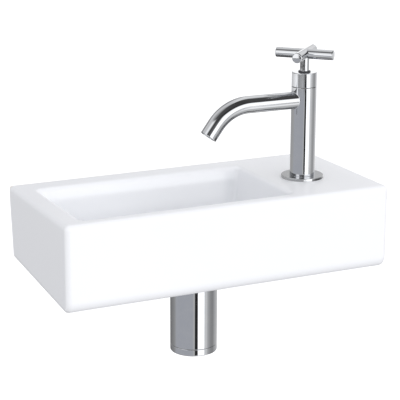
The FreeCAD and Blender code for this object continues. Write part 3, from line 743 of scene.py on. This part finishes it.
for i in range(0, 45):
    rows.append(spout_ring(lerp(inside, 14.0, i / 44), SPOUT_BORE))
verts, faces = loops(rows, False, False)
n = len(rows[0])
faces += [((len(rows) - 1) * n + j, (len(rows) - 1) * n + (j + 1) % n, (j + 1) % n, j) for j in range(n)]
spout = make("spout", verts, faces, 34.0)
finish_piece(spout, "spout_tube")

housing = make("aerator_ring", *moved(lathe(soften([
    (6.0, 0.6, 0.15), (7.7, 0.6, 0.2), (8.2, 1.1, 0.1), (8.2, 8.4, 0.1), (6.6, 8.4, 0.1), (6.6, 1.2, 0.1), (6.0, 1.2, 0.1)]), 96,
    lambda r, h, a: r - (0.22 if (round(a / (2 * math.pi) * 96) % 8) < 2 and 6.1 < r < 7.9 and h < 1.0 else 0.0)), along(TIP, -TIP_DIR)))
finish_piece(housing, "aerator_housing")

# ---- shank with its pipe thread ----
def threaded(r, pitch, z0, z1, segs=72, per=9):
    """Rows of a right-hand pipe thread from z0 up to z1, run out at both ends."""
    count = int((z1 - z0) / pitch * per)
    depth = 0.60 * pitch
    rows = []
    for i in range(count + 1):
        z = lerp(z0, z1, i / count)
        fade = smooth((z - z0) / 1.6) * smooth((z1 - z) / 2.5)
        row = []
        for j in range(segs):
            ph = (z / pitch - j / segs) % 1.0
            tooth = abs(2 * ph - 1)
            tooth = smooth(max(0.0, min(1.0, (tooth - 0.08) / 0.84)))
            q = r - depth * tooth * fade
            a = 2 * math.pi * j / segs
            row.append((q * math.cos(a), q * math.sin(a), z))
        rows.append(row)
    return rows


def ring_row(r, z, segs=72):
    return [(r * math.cos(2 * math.pi * j / segs), r * math.sin(2 * math.pi * j / segs), z) for j in range(segs)]


TAIL_END = -56.0
rows = [ring_row(WATERWAY_R, TAIL_END + 0.2), ring_row(WATERWAY_R + 0.2, TAIL_END), ring_row(TAIL_R - 1.3, TAIL_END), ring_row(TAIL_R - 1.0, TAIL_END + 0.1), ring_row(TAIL_R - 0.1, TAIL_END + 0.9)]
rows += threaded(TAIL_R, 1.814, TAIL_END + 1.0, -31.7)
rows += [ring_row(TAIL_R, -31.5), ring_row(TAIL_R - 0.9, -31.3), ring_row(9.38, -31.05), ring_row(9.35, -30.8), ring_row(9.35, -30.2), ring_row(9.38, -29.95), ring_row(TAIL_R - 0.9, -29.7), ring_row(TAIL_R, -29.5)]
rows += threaded(TAIL_R, 1.814, -29.3, -2.0)
rows += [ring_row(TAIL_R, -1.5), ring_row(TAIL_R, FLANGE_H), ring_row(8.0, FLANGE_H), ring_row(8.0, FLANGE_H + 12), ring_row(WATERWAY_R, FLANGE_H + 12)]
verts, faces = loops(rows, False, False)
n = len(rows[0])
faces += [((len(rows) - 1) * n + j, (len(rows) - 1) * n + (j + 1) % n, (j + 1) % n, j) for j in range(n)]
tail = make("threaded_shank", *moved((verts, faces), at(TX, TY)), 40.0)
finish_piece(tail, "tap_tail")


def hexed(flats, crown):
    """Radius of a hexagon with its corners turned off; crown(h) is the turned radius at height h."""
    def f(r, h, a):
        if r < flats / 2 - 0.8:
            return r
        k = (a + math.pi / 6) % (math.pi / 3) - math.pi / 6
        return min(flats / 2 / math.cos(k) - 0.12 * smooth((abs(k) - rad(27)) / rad(3)), crown(h))
    return f


nut_top = -DECK - 4.5
nut = make("shank_backnut", *moved(lathe(
    [(TAIL_R, nut_top - 7.6), (TAIL_R + 0.5, nut_top - 8.0)] + [(15.0, nut_top - 8.0)] + [(17.3, nut_top - 8.0 + 1.8 * i / 5) for i in range(6)] + [(17.3, nut_top - 5.0), (17.3, nut_top - 2.0), (17.3, nut_top - 0.15), (17.0, nut_top), (TAIL_R + 0.4, nut_top), (TAIL_R, nut_top - 0.4)],
    144, hexed(30.0, lambda h: 15.0 + max(0.0, h - (nut_top - 8.0)) * 1.45)), at(TX, TY) @ Matrix.Rotation(rad(15), 4, "Z")), 30.0)
finish_piece(nut, "tap_backnut")

# ---- bonnet, its trim ring and the stem ----
bonnet = make("bonnet_shell", *moved(lathe(soften([
    (12.3, PILLAR_TOP + 0.3, 0.1), (PILLAR_R, PILLAR_TOP + 0.3, 0.35), (PILLAR_R, BONNET_TOP, 0.55), (5.6, BONNET_TOP, 0.15), (5.6, 119.9, 0.1), (9.0, 119.9, 0.1), (9.0, 112.0, 0.1), (12.3, 112.0, 0.1)], 0.3, 4), 160), at(TX, TY)))
finish_piece(bonnet, "bonnet")
ring = make("stem_seal_ring", *moved(lathe(soften([(5.5, BONNET_TOP, 0.1), (6.9, BONNET_TOP, 0.1), (6.9, BONNET_TOP + 0.9, 0.35), (6.5, BONNET_TOP + 1.2, 0.2), (5.5, BONNET_TOP + 1.2, 0.15)]), 96), at(TX, TY)))
finish_piece(ring, "stem_ring")

# ======================================================================================
# Cross handle
# ======================================================================================
HUB = Vector((TX, TY, HANDLE_Z))
LONG_DIR = Vector((math.cos(rad(-45)), math.sin(rad(-45)), 0))
CROSS_DIR = Vector((math.cos(rad(-135)), math.sin(rad(-135)), 0))


def rod_end(r, h, out):
    """Chamfered end of a rod, from its wall to its middle. out is +1 or -1."""
    pts = [(r, h - out * 1.3), (r, h - out * 0.92), (r - 0.03, h - out * 0.78), (r - 0.12, h - out * 0.62), (r - 0.53, h - out * 0.25), (r - 0.70, h - out * 0.175), (r - 0.86, h - out * 0.15), (r - 1.2, h - out * 0.115), (r * 0.6, h - out * 0.065), (r * 0.3, h - out * 0.017), (0.0, h)]
    return pts


profile = list(reversed(rod_end(ARM_R, -ARM_L, -1))) + [(ARM_R, -ARM_L * 0.6), (ARM_R, -10.0), (ARM_R, 0.0), (ARM_R, 10.0), (ARM_R, ARM_L * 0.6)] + rod_end(ARM_R, ARM_L, 1)
bar = make("handle_through_bar", *moved(lathe(profile, 112), along(HUB, LONG_DIR)))
finish_piece(bar, "handle_bar")


def arm(name, node, d):
    """Arm coped to the through bar, with its threaded stud inside."""
    segs = 112
    up, side = Vector((0, 0, 1)), d.cross(Vector((0, 0, 1)))

    def ring(r, h, cope=False):
        out = []
        for j in range(segs):
            a = 2 * math.pi * j / segs
            w = r * math.cos(a)
            t = math.sqrt(max(0.0, ARM_R ** 2 - w * w)) + h if cope else h
            out.append(tuple(HUB + d * t + up * w + side * (r * math.sin(a))))
        return out

    rows = [ring(2.5, 0.4), ring(2.5, 1.5), ring(2.5, 4.2), ring(2.7, -0.05, True), ring(ARM_R * 0.8, -0.05, True), ring(ARM_R - 0.1, -0.05, True), ring(ARM_R, 0.02, True)]
    for i in range(1, 7):
        f = i / 6
        cope, plain = ring(ARM_R, 0.05, True), ring(ARM_R, 7.0)
        rows.append([tuple(lerp(u, v, f) for u, v in zip(a, b)) for a, b in zip(cope, plain)])
    for h in (12.0, 18.0, 24.0, 30.0):
        rows.append(ring(ARM_R, h))
    for r, h in rod_end(ARM_R, ARM_L, 1)[:-2]:
        rows.append(ring(r, h))
    rows.append(ring(1.2, ARM_L))
    ob = make(name, *loops(rows), 40.0)
    return finish_piece(ob, node)


arm("handle_front_arm", "handle_arm_front", CROSS_DIR)
arm("handle_rear_arm", "handle_arm_rear", -CROSS_DIR)

segs = 112
rows = []


def stem_ring_row(r, z):
    return [(TX + r * math.cos(2 * math.pi * j / segs), TY + r * math.sin(2 * math.pi * j / segs), z) for j in range(segs)]


def stem_top(r, gap):
    out = []
    for j in range(segs):
        a = 2 * math.pi * j / segs
        u, v = r * math.cos(a - rad(45)), r * math.sin(a - rad(45))
        z = HANDLE_Z - max(math.sqrt(max(0.0, ARM_R ** 2 - u * u)), math.sqrt(max(0.0, ARM_R ** 2 - v * v))) - gap
        out.append((TX + r * math.cos(a), TY + r * math.sin(a), z))
    return out


rows = [stem_ring_row(3.8, 134.4), stem_ring_row(3.8, 127.0), stem_ring_row(3.8, 120.7), stem_ring_row(4.1, 120.5), stem_ring_row(4.1, 119.95), stem_ring_row(STEM_R - 0.3, 119.95), stem_ring_row(STEM_R, 120.3)]
for z in (120.8, 123.0, 126.0, 129.0, 132.0, 134.5):
    rows.append(stem_ring_row(STEM_R, z))
top = stem_top(STEM_R, 0.0)
for i in range(1, 5):
    rows.append([tuple(lerp(u, v, i / 4) for u, v in zip(a, b)) for a, b in zip(stem_ring_row(STEM_R, 134.5), top)])
rows.append(stem_top(STEM_R - 0.15, -0.05))
rows.append(stem_top(3.0, -0.05))
rows.append(stem_top(1.0, -0.05))
stem = make("handle_boss", *loops(rows), 40.0)
boolean(stem, make("grub_way", *moved(lathe([(0, 0), (1.62, 0), (1.62, 8), (0, 8)], 40), along((TX, TY + 1.0, 127.5), (0, 1, 0)))))
shade(stem, 36.0)
finish_piece(stem, "handle_stem")

# ======================================================================================
# Waste fitting in the bowl's floor
# ======================================================================================
SEAT = FLOOR_Z - 2.5
F0 = SEAT + 1.0
S0 = F0 + 0.8
WASTE_TAIL_R = 20.95
strainer_profile = soften([(3.15, S0 + 0.1, 0.05), (3.15, S0 + 0.72, 0.05), (5.62, S0 + 1.85, 0.12), (9.0, S0 + 1.75, 0), (14.0, S0 + 1.62, 0), (19.0, S0 + 1.35, 0), (22.6, S0 + 1.05, 0.3), (23.4, S0 + 0.5, 0.2), (23.1, S0, 0.1), (5.0, S0, 0.1)], 0.2, 3)
strainer = make("strainer_plate", *moved(lathe(strainer_profile, 160), at(WX, WY)))
for i in range(8):
    a = rad(45 * i + 22.5)
    w, r0, r1 = 1.7, 8.6, 18.6
    pts = []
    for k in range(13):
        t = rad(90 + 180 * k / 12)
        pts.append((r0 + w * math.cos(t), w * math.sin(t)))
    for k in range(13):
        t = rad(-90 + 180 * k / 12)
        pts.append((r1 + w * math.cos(t), w * math.sin(t)))
    turned = [(WX + x * math.cos(a) - y * math.sin(a), WY + x * math.sin(a) + y * math.cos(a)) for x, y in pts]
    boolean(strainer, make("slot", *loops([[(x, y, S0 - 3) for x, y in turned], [(x, y, S0 + 5) for x, y in turned]])))
shade(strainer, 30.0)
finish_piece(strainer, "waste_strainer")

screw = make("strainer_screw", *moved(lathe(soften([
    (0, S0 + 2.65), (3.0, S0 + 2.45, 0.8), (5.2, S0 + 2.0, 0.25), (3.1, S0 + 0.74, 0.1), (3.0, S0 + 0.6, 0.1), (3.0, F0 - 11.0, 0.2), (2.5, F0 - 11.5, 0.1), (0, F0 - 11.5)], 0.2, 3), 96), at(WX, WY)))
x0, x1, y0, y1 = WX - 6, WX + 6, WY - 0.6, WY + 0.6
boolean(screw, make("driver_slot", *loops([[(x0, y0, S0 + 1.9), (x1, y0, S0 + 1.9), (x1, y1, S0 + 1.9), (x0, y1, S0 + 1.9)], [(x0, y0, S0 + 5), (x1, y0, S0 + 5), (x1, y1, S0 + 5), (x0, y1, S0 + 5)]])))
shade(screw, 30.0)
finish_piece(screw, "waste_screw")

# ======================================================================================
# Bottle trap
# ======================================================================================
NECK, NUT_TOP, LIP = 18.6, -91.4, -102.5
TRAP_R, TRAP_TOP, TRAP_SEAM, TRAP_BOTTOM, OUTLET_Z, OUTLET_R, SPIGOT_R = 26.65, -104.8, -182.8, -191.0, -124.6, 16.15, 19.4


def fluted(r_min, depth, count, width, h0, h1):
    """Grip flutes: shallow round channels down a nut's wall between h0 and h1."""
    def f(r, h, a):
        if r < r_min:
            return r
        k = (a % (2 * math.pi / count)) - math.pi / count
        across = 1 - min(1.0, abs(k) * r / (width / 2)) ** 2
        return r - depth * max(0.0, across) * smooth((h - h0) / 1.2) * smooth((h1 - h) / 1.2)
    return f


inlet_nut = make("inlet_union_nut", *moved(lathe(soften([
    (WASTE_TAIL_R, NUT_TOP, 0.4), (WASTE_TAIL_R, LIP, 0.1), (NECK + 0.2, LIP, 0.1), (NECK + 0.2, LIP - 1.5, 0.3), (25.4, LIP - 1.5, 0.7), (25.6, LIP - 0.2, 0), (25.6, LIP + 1.0, 0), (25.6, LIP + 2.0, 0), (25.6, -98.0, 0),
    (25.6, -95.5, 0), (25.6, -93.6, 0), (25.6, -92.6, 0), (25.4, NUT_TOP, 0.7)], 0.3, 3), 216, fluted(24.9, 0.8, 12, 5.2, LIP - 0.2, NUT_TOP - 0.8)), at(WX, WY)))
finish_piece(inlet_nut, "trap_inlet_nut")

WALL_IN = TRAP_R - 2.0
trap = make("trap_bottle", *moved(lathe(soften([
    (16.0, -101.0, 0.1), (20.4, -101.0, 0.3), (20.4, LIP, 0.1), (NECK, LIP, 0.1), (NECK, TRAP_TOP, 0.5), (TRAP_R, TRAP_TOP, 2.2), (TRAP_R, TRAP_SEAM, 0.45), (WALL_IN, TRAP_SEAM, 0.1), (WALL_IN, TRAP_TOP - 2.5, 1.0),
    (16.0, TRAP_TOP - 2.5, 0.2)], 0.3, 5), 192), at(WX, WY)))
spigot = make("spigot", *moved(lathe([(0, 25.6), (SPIGOT_R, 25.6)] + [(SPIGOT_R, lerp(26.0, 62.5, i / 8)) for i in range(9)] + [(SPIGOT_R - 0.15, 62.9), (SPIGOT_R - 0.5, 63.0), (0, 63.0)], 96), along((WX, WY, OUTLET_Z), (0, 1, 0))))
boolean(trap, spigot, "UNION")
boolean(trap, make("socket", *moved(lathe([(0, 34.5), (OUTLET_R, 34.5), (OUTLET_R, 76.0), (0, 76.0)], 96), along((WX, WY, OUTLET_Z), (0, 1, 0)))))
boolean(trap, make("way_out", *moved(lathe([(0, 14.0), (13.5, 14.0), (13.5, 46.0), (0, 46.0)], 96), along((WX, WY, OUTLET_Z), (0, 1, 0)))))
shade(trap, 32.0)
trap.modifiers.new("flats", "WEIGHTED_NORMAL").keep_sharp = True
finish_piece(trap, "trap_body")

CAP_TOP, RING_Z, CAP_LIP = TRAP_SEAM - 0.2, TRAP_SEAM + 5.3, TRAP_SEAM + 8.3
cap = make("trap_base_cap", *moved(lathe(soften([
    (0, TRAP_BOTTOM), (12.0, TRAP_BOTTOM, 0), (TRAP_R, TRAP_BOTTOM, 1.3), (TRAP_R, CAP_TOP, 0.45), (24.55, CAP_TOP, 0.1), (24.55, RING_Z - 0.9, 0.1), (22.9, RING_Z - 0.9, 0.1), (22.9, RING_Z + 0.9, 0.1), (24.55, RING_Z + 0.9, 0.1), (24.55, CAP_LIP, 0.2),
    (21.4, CAP_LIP, 0.2), (21.4, TRAP_BOTTOM + 3.2, 0.8), (0, TRAP_BOTTOM + 3.2)], 0.3, 5), 192), at(WX, WY)))
finish_piece(cap, "trap_cap")

outlet_nut = make("outlet_union_nut", *moved(lathe(soften([
    (SPIGOT_R, 54.5, 0.3), (SPIGOT_R, 68.2, 0.1), (16.6, 68.2, 0.1), (16.6, 70.5, 0.3), (21.6, 70.5, 0.8), (21.8, 69.1, 0), (21.8, 67.5, 0), (21.8, 66.0, 0), (21.8, 62.5, 0), (21.8, 59.5, 0), (21.8, 57.5, 0), (21.8, 56.1, 0), (21.5, 54.5, 0.6)], 0.3, 3), 216,
    fluted(21.2, 0.6, 12, 4.4, 55.5, 68.9)), along((WX, WY, OUTLET_Z), (0, 1, 0))))
finish_piece(outlet_nut, "trap_outlet_nut")

# ======================================================================================
# CAD nodes that stay: their own finish
# ======================================================================================
for name, ob in nodes.items():
    if ob.hide_render:
        continue
    ob.data.materials.clear()
    ob.data.materials.append(MATERIALS[SLOT_OF[name]])

# ======================================================================================
# Floor, light and camera
# ======================================================================================
def stage_material(name, colour, glow):
    m = bpy.data.materials.new(name)
    m.use_nodes = True
    b = m.node_tree.nodes["Principled BSDF"]
    b.inputs["Base Color"].default_value = colour
    b.inputs["Roughness"].default_value = 0.9
    b.inputs["Specular IOR Level"].default_value = 0.1
    b.inputs["Emission Color"].default_value = (1, 1, 1, 1)
    b.inputs["Emission Strength"].default_value = glow
    return m


bpy.ops.mesh.primitive_circle_add(vertices=96, radius=14.0, fill_type="NGON", location=(0, 0, -0.80))
floor = bpy.context.object
floor.name = "floor"
floor.data.materials.append(stage_material("pale_floor", (0.92, 0.92, 0.92, 1), 0.30))
floor.visible_glossy = False
floor.visible_diffuse = False

YAW, PITCH, ROLL = rad(25.75), rad(15.56), rad(-0.21)   # the photograph's camera: turned to the right of +Y, looking down, very slightly rolled
camera = bpy.data.cameras.new("camera")
camera.lens, camera.sensor_width, camera.sensor_fit = 131.58, 36.0, "HORIZONTAL"
camera.clip_start, camera.clip_end = 0.05, 100.0
cam = bpy.data.objects.new("camera", camera)
scene.collection.objects.link(cam)
cam.location = (-0.6835, -1.5061, 0.4818)
cam.rotation_euler = (Matrix.Rotation(-YAW, 3, "Z") @ Matrix.Rotation(math.pi / 2 - PITCH, 3, "X") @ Matrix.Rotation(-ROLL, 3, "Z")).to_euler()
scene.camera = cam

world = bpy.data.worlds.new("studio")
scene.world = world
world.use_nodes = True
wt = world.node_tree
wt.nodes.clear()


def wn(kind, **sets):
    n = wt.nodes.new(kind)
    for k, v in sets.items():
        setattr(n, k, v)
    return n


def wmath(op, a, b=0.0, c=0.0):
    n = wn("ShaderNodeMath", operation=op)
    for s, v in zip(n.inputs, (a, b, c)):
        if isinstance(v, (int, float)):
            s.default_value = v
        else:
            wt.links.new(v, s)
    return n.outputs[0]


def wspan(value, a, b):
    n = wn("ShaderNodeMapRange", interpolation_type="SMOOTHSTEP")
    wt.links.new(value, n.inputs["Value"])
    n.inputs["From Min"].default_value, n.inputs["From Max"].default_value = a, b
    return n.outputs["Result"]


def wramp(value, stops):
    """Brightness round the horizon. stops are (degrees from the photograph's camera, to its right, brightness)."""
    n = wn("ShaderNodeValToRGB")
    e = n.color_ramp.elements
    while len(e) < len(stops):
        e.new(0.5)
    for k, (deg, v) in enumerate(stops):
        e[k].position = (deg + 180.0) / 360.0
        c = (v, v, v) if isinstance(v, (int, float)) else v
        e[k].color = (*c, 1.0)
    wt.links.new(value, n.inputs["Fac"])
    return n.outputs["Color"]


def wmix(fac, a, b):
    n = wn("ShaderNodeMix", data_type="RGBA")
    wt.links.new(fac, n.inputs[0])
    for s, v in ((n.inputs[6], a), (n.inputs[7], b)):
        if isinstance(v, tuple):
            s.default_value = v
        else:
            wt.links.new(v, s)
    return n.outputs[2]


direction = wn("ShaderNodeTexCoord").outputs["Generated"]
spin = wn("ShaderNodeVectorRotate", rotation_type="Z_AXIS")
spin.inputs["Angle"].default_value = YAW
wt.links.new(direction, spin.inputs["Vector"])
axes = wn("ShaderNodeSeparateXYZ")
wt.links.new(spin.outputs["Vector"], axes.inputs[0])
raw = wn("ShaderNodeSeparateXYZ")
wt.links.new(direction, raw.inputs[0])
round_ = wmath("MULTIPLY_ADD", wmath("ARCTAN2", axes.outputs["X"], wmath("MULTIPLY", axes.outputs["Y"], -1.0)), 1 / (2 * math.pi), 0.5)
height = wmath("MULTIPLY", wmath("ARCSINE", axes.outputs["Z"]), 180 / math.pi)

# What the plating reflects: bands of height (degrees), each a ramp round the horizon
GREY = (0.42, 0.43, 0.46)
bands = [
    (None, [(-180, 0.10), (-100, 0.06), (-60, 0.28), (0, 0.30), (60, 0.62), (90, 0.55), (125, 0.60), (165, 0.50), (180, 0.25)]),
    ((-47.0, -41.0), [(-180, 0.15), (-120, 0.22), (-60, 0.80), (0, 0.70), (25, 1.15), (60, 1.15), (70, 0.80), (86, 0.50), (100, 0.06), (150, 0.05), (162, 0.30), (180, 0.25)]),
    # bottle trap
    ((-31.0, -27.0), [(-180, 0.30), (-157, 0.18), (-132, 0.24), (-112, 0.30), (-103, 0.36), (-94, GREY), (-4, GREY), (0, 0.50), (6.4, 0.48), (7.4, 0.002), (14.0, 0.02), (20.5, 0.06), (22.8, 1.5), (53.5, 1.5), (57, 0.62), (62, 0.72),
                      (67, 0.69), (73, 0.50), (79, 0.42), (93, 0.30), (108, 0.27), (117, 0.36), (127, 0.44), (146, 0.55), (170, 0.55), (180, 0.40)]),
    # the base flange's wall
    ((-18.0, -16.5), [(-180, 0.36), (-150, 0.40), (-90, 0.44), (-6, 0.38), (4, 0.42), (9, 1.30), (50, 1.40), (56, 0.03), (66, 0.008), (130, 0.006), (150, 0.04), (165, 0.34), (180, 0.36)]),
    # pillar
    ((-14.68, -14.56), [(-180, 0.60), (-157, 0.46), (-130, 0.38), (-108, 0.41), (-90, GREY), (-4, GREY), (0, 0.52), (5.4, 0.48), (6.4, 0.002), (19.0, 0.01), (21.5, 1.5), (51, 1.5), (57, 0.74), (69, 0.69), (80, 0.50), (93, 0.39), (106, 0.35),
                        (122, 0.55), (146, 0.75), (170, 0.60), (180, 0.50)]),
    # bonnet
    ((-11.32, -11.22), [(-180, 0.62), (-140, 0.68), (-122, 0.78), (-108, 0.90), (-95, 1.02), (-84, 1.12), (-72, 1.12), (-64, 0.72), (-56, 0.31), (-45, 0.41), (-27, 0.44), (-15, 0.54), (-6, 0.34), (3.0, 0.25), (4.8, 0.004), (17.0, 0.02), (19.5, 1.5),
                        (50, 1.5), (56, 0.78), (66, 0.74), (80, 0.50), (93, 0.38), (106, 0.34), (122, 0.55), (146, 0.80), (170, 0.70), (180, 0.60)]),
    # handle's stem
    ((-10.52, -10.42), [(-180, 0.40), (-150, 0.40), (-125, 0.25), (-105, 0.10), (-90, 0.07), (-60, 0.05), (-38, 0.06), (-25, 0.05), (-12, 0.02), (0, 0.04), (6, 0.20), (14, 1.3), (62, 1.3), (72, 0.55), (85, 0.34), (100, 0.36), (125, 0.60), (150, 0.80), (180, 0.66)]),
    # the front arm's end
    ((-10.10, -10.02), [(-180, 0.45), (-150, 0.50), (-125, 0.42), (-105, 0.30), (-80, 0.90), (-60, 1.15), (-33, 1.20), (-29.5, 0.04), (-12, 0.03), (0, 0.10), (6, 0.40), (14, 1.3), (62, 1.3), (72, 0.55), (85, 0.34), (100, 0.36), (125, 0.60), (150, 0.80), (180, 0.66)]),
    ((-6.0, 0.0), [(-180, 1.15), (-173, 0.50), (-134, 0.50), (-110, 0.12), (-85, 0.10), (-70, 1.2), (-4, 1.25), (4.0, 1.2), (6.0, 0.15), (15.0, 0.15), (18.5, 1.5), (66, 1.5), (74, 0.80), (90, 0.40), (104, 0.30), (125, 0.34), (150, 0.80), (165, 1.10), (180, 1.20)]),
    ((12.0, 14.0), [(-180, 0.34), (-172, 0.14), (-134, 0.30), (-110, 0.14), (-68, 0.14), (-54, 1.0), (-34, 1.1), (-26, 0.2), (0, 0.12), (14.0, 0.15), (22, 1.2), (66, 1.3), (74, 0.70), (90, 0.36), (104, 0.28), (125, 0.34), (150, 0.85), (165, 0.80), (172, 0.58), (180, 0.46)]),
    ((24.0, 28.0), [(-180, 0.60), (-160, 0.36), (-134, 0.68), (-108, 0.72), (-90, 0.62), (-66, 0.85), (-50, 1.10), (-34, 0.90), (-24, 0.10), (0, 0.05), (25, 0.04), (45, 0.05), (60, 0.06), (100, 0.07), (118, 0.09), (126, 0.22), (136, 0.62), (155, 0.85), (180, 0.80)]),
    ((40.0, 48.0), [(-180, 0.80), (-140, 0.70), (-110, 0.64), (-85, 0.42), (-60, 0.30), (-44, 0.10), (-20, 0.08), (20, 0.07), (50, 0.05), (75, 0.07), (108, 0.08), (120, 0.14), (134, 0.66), (150, 0.85), (180, 0.85)]),
]
shine = None
for edge, stops in bands:
    ramp = wramp(round_, stops)
    shine = ramp if edge is None else wmix(wspan(height, *edge), shine, ramp)

# even light, given for the six directions: most from the front and the right
soft = 0.0
for axis, plus, minus in (("X", 0.80, 0.665), ("Y", 0.44, 0.80), ("Z", 0.585, 0.06)):
    soft = wmath("MULTIPLY_ADD", wmath("MAXIMUM", raw.outputs[axis], 0.0), plus, soft)
    soft = wmath("MULTIPLY_ADD", wmath("MAXIMUM", wmath("MULTIPLY", raw.outputs[axis], -1.0), 0.0), minus, soft)
tint = wn("ShaderNodeCombineColor")
wt.links.new(wmath("MULTIPLY", soft, 0.985), tint.inputs[0])
wt.links.new(wmath("MULTIPLY", soft, 0.99), tint.inputs[1])
wt.links.new(wmath("MULTIPLY", soft, 1.02), tint.inputs[2])

path = wn("ShaderNodeLightPath")
seen = wmix(path.outputs["Is Glossy Ray"], tint.outputs[0], shine)
seen = wmix(path.outputs["Is Camera Ray"], seen, (1.05, 1.05, 1.05, 1.0))
back = wn("ShaderNodeBackground")
wt.links.new(seen, back.inputs["Color"])
wt.links.new(back.outputs[0], wn("ShaderNodeOutputWorld").inputs["Surface"])

key = bpy.data.lights.new("key", "AREA")
key.shape, key.size, key.size_y, key.energy = "RECTANGLE", 1.0, 0.09, 9.5
lamp = bpy.data.objects.new("key", key)
scene.collection.objects.link(lamp)
lamp.location = (0.12, -2.6, 0.31)
lamp.rotation_euler = (Vector((0.0, 0.0, 0.02)) - lamp.location).to_track_quat("-Z", "Y").to_euler()
lamp.visible_camera = False
lamp.visible_glossy = False

basin.visible_glossy = False

scene.view_settings.view_transform = "Standard"
scene.view_settings.look = "None"
scene.view_settings.exposure = 0.0
scene.view_settings.gamma = 1.0
scene.cycles.use_denoising = True
scene.cycles.max_bounces = 16
scene.cycles.diffuse_bounces = 12
scene.cycles.glossy_bounces = 6
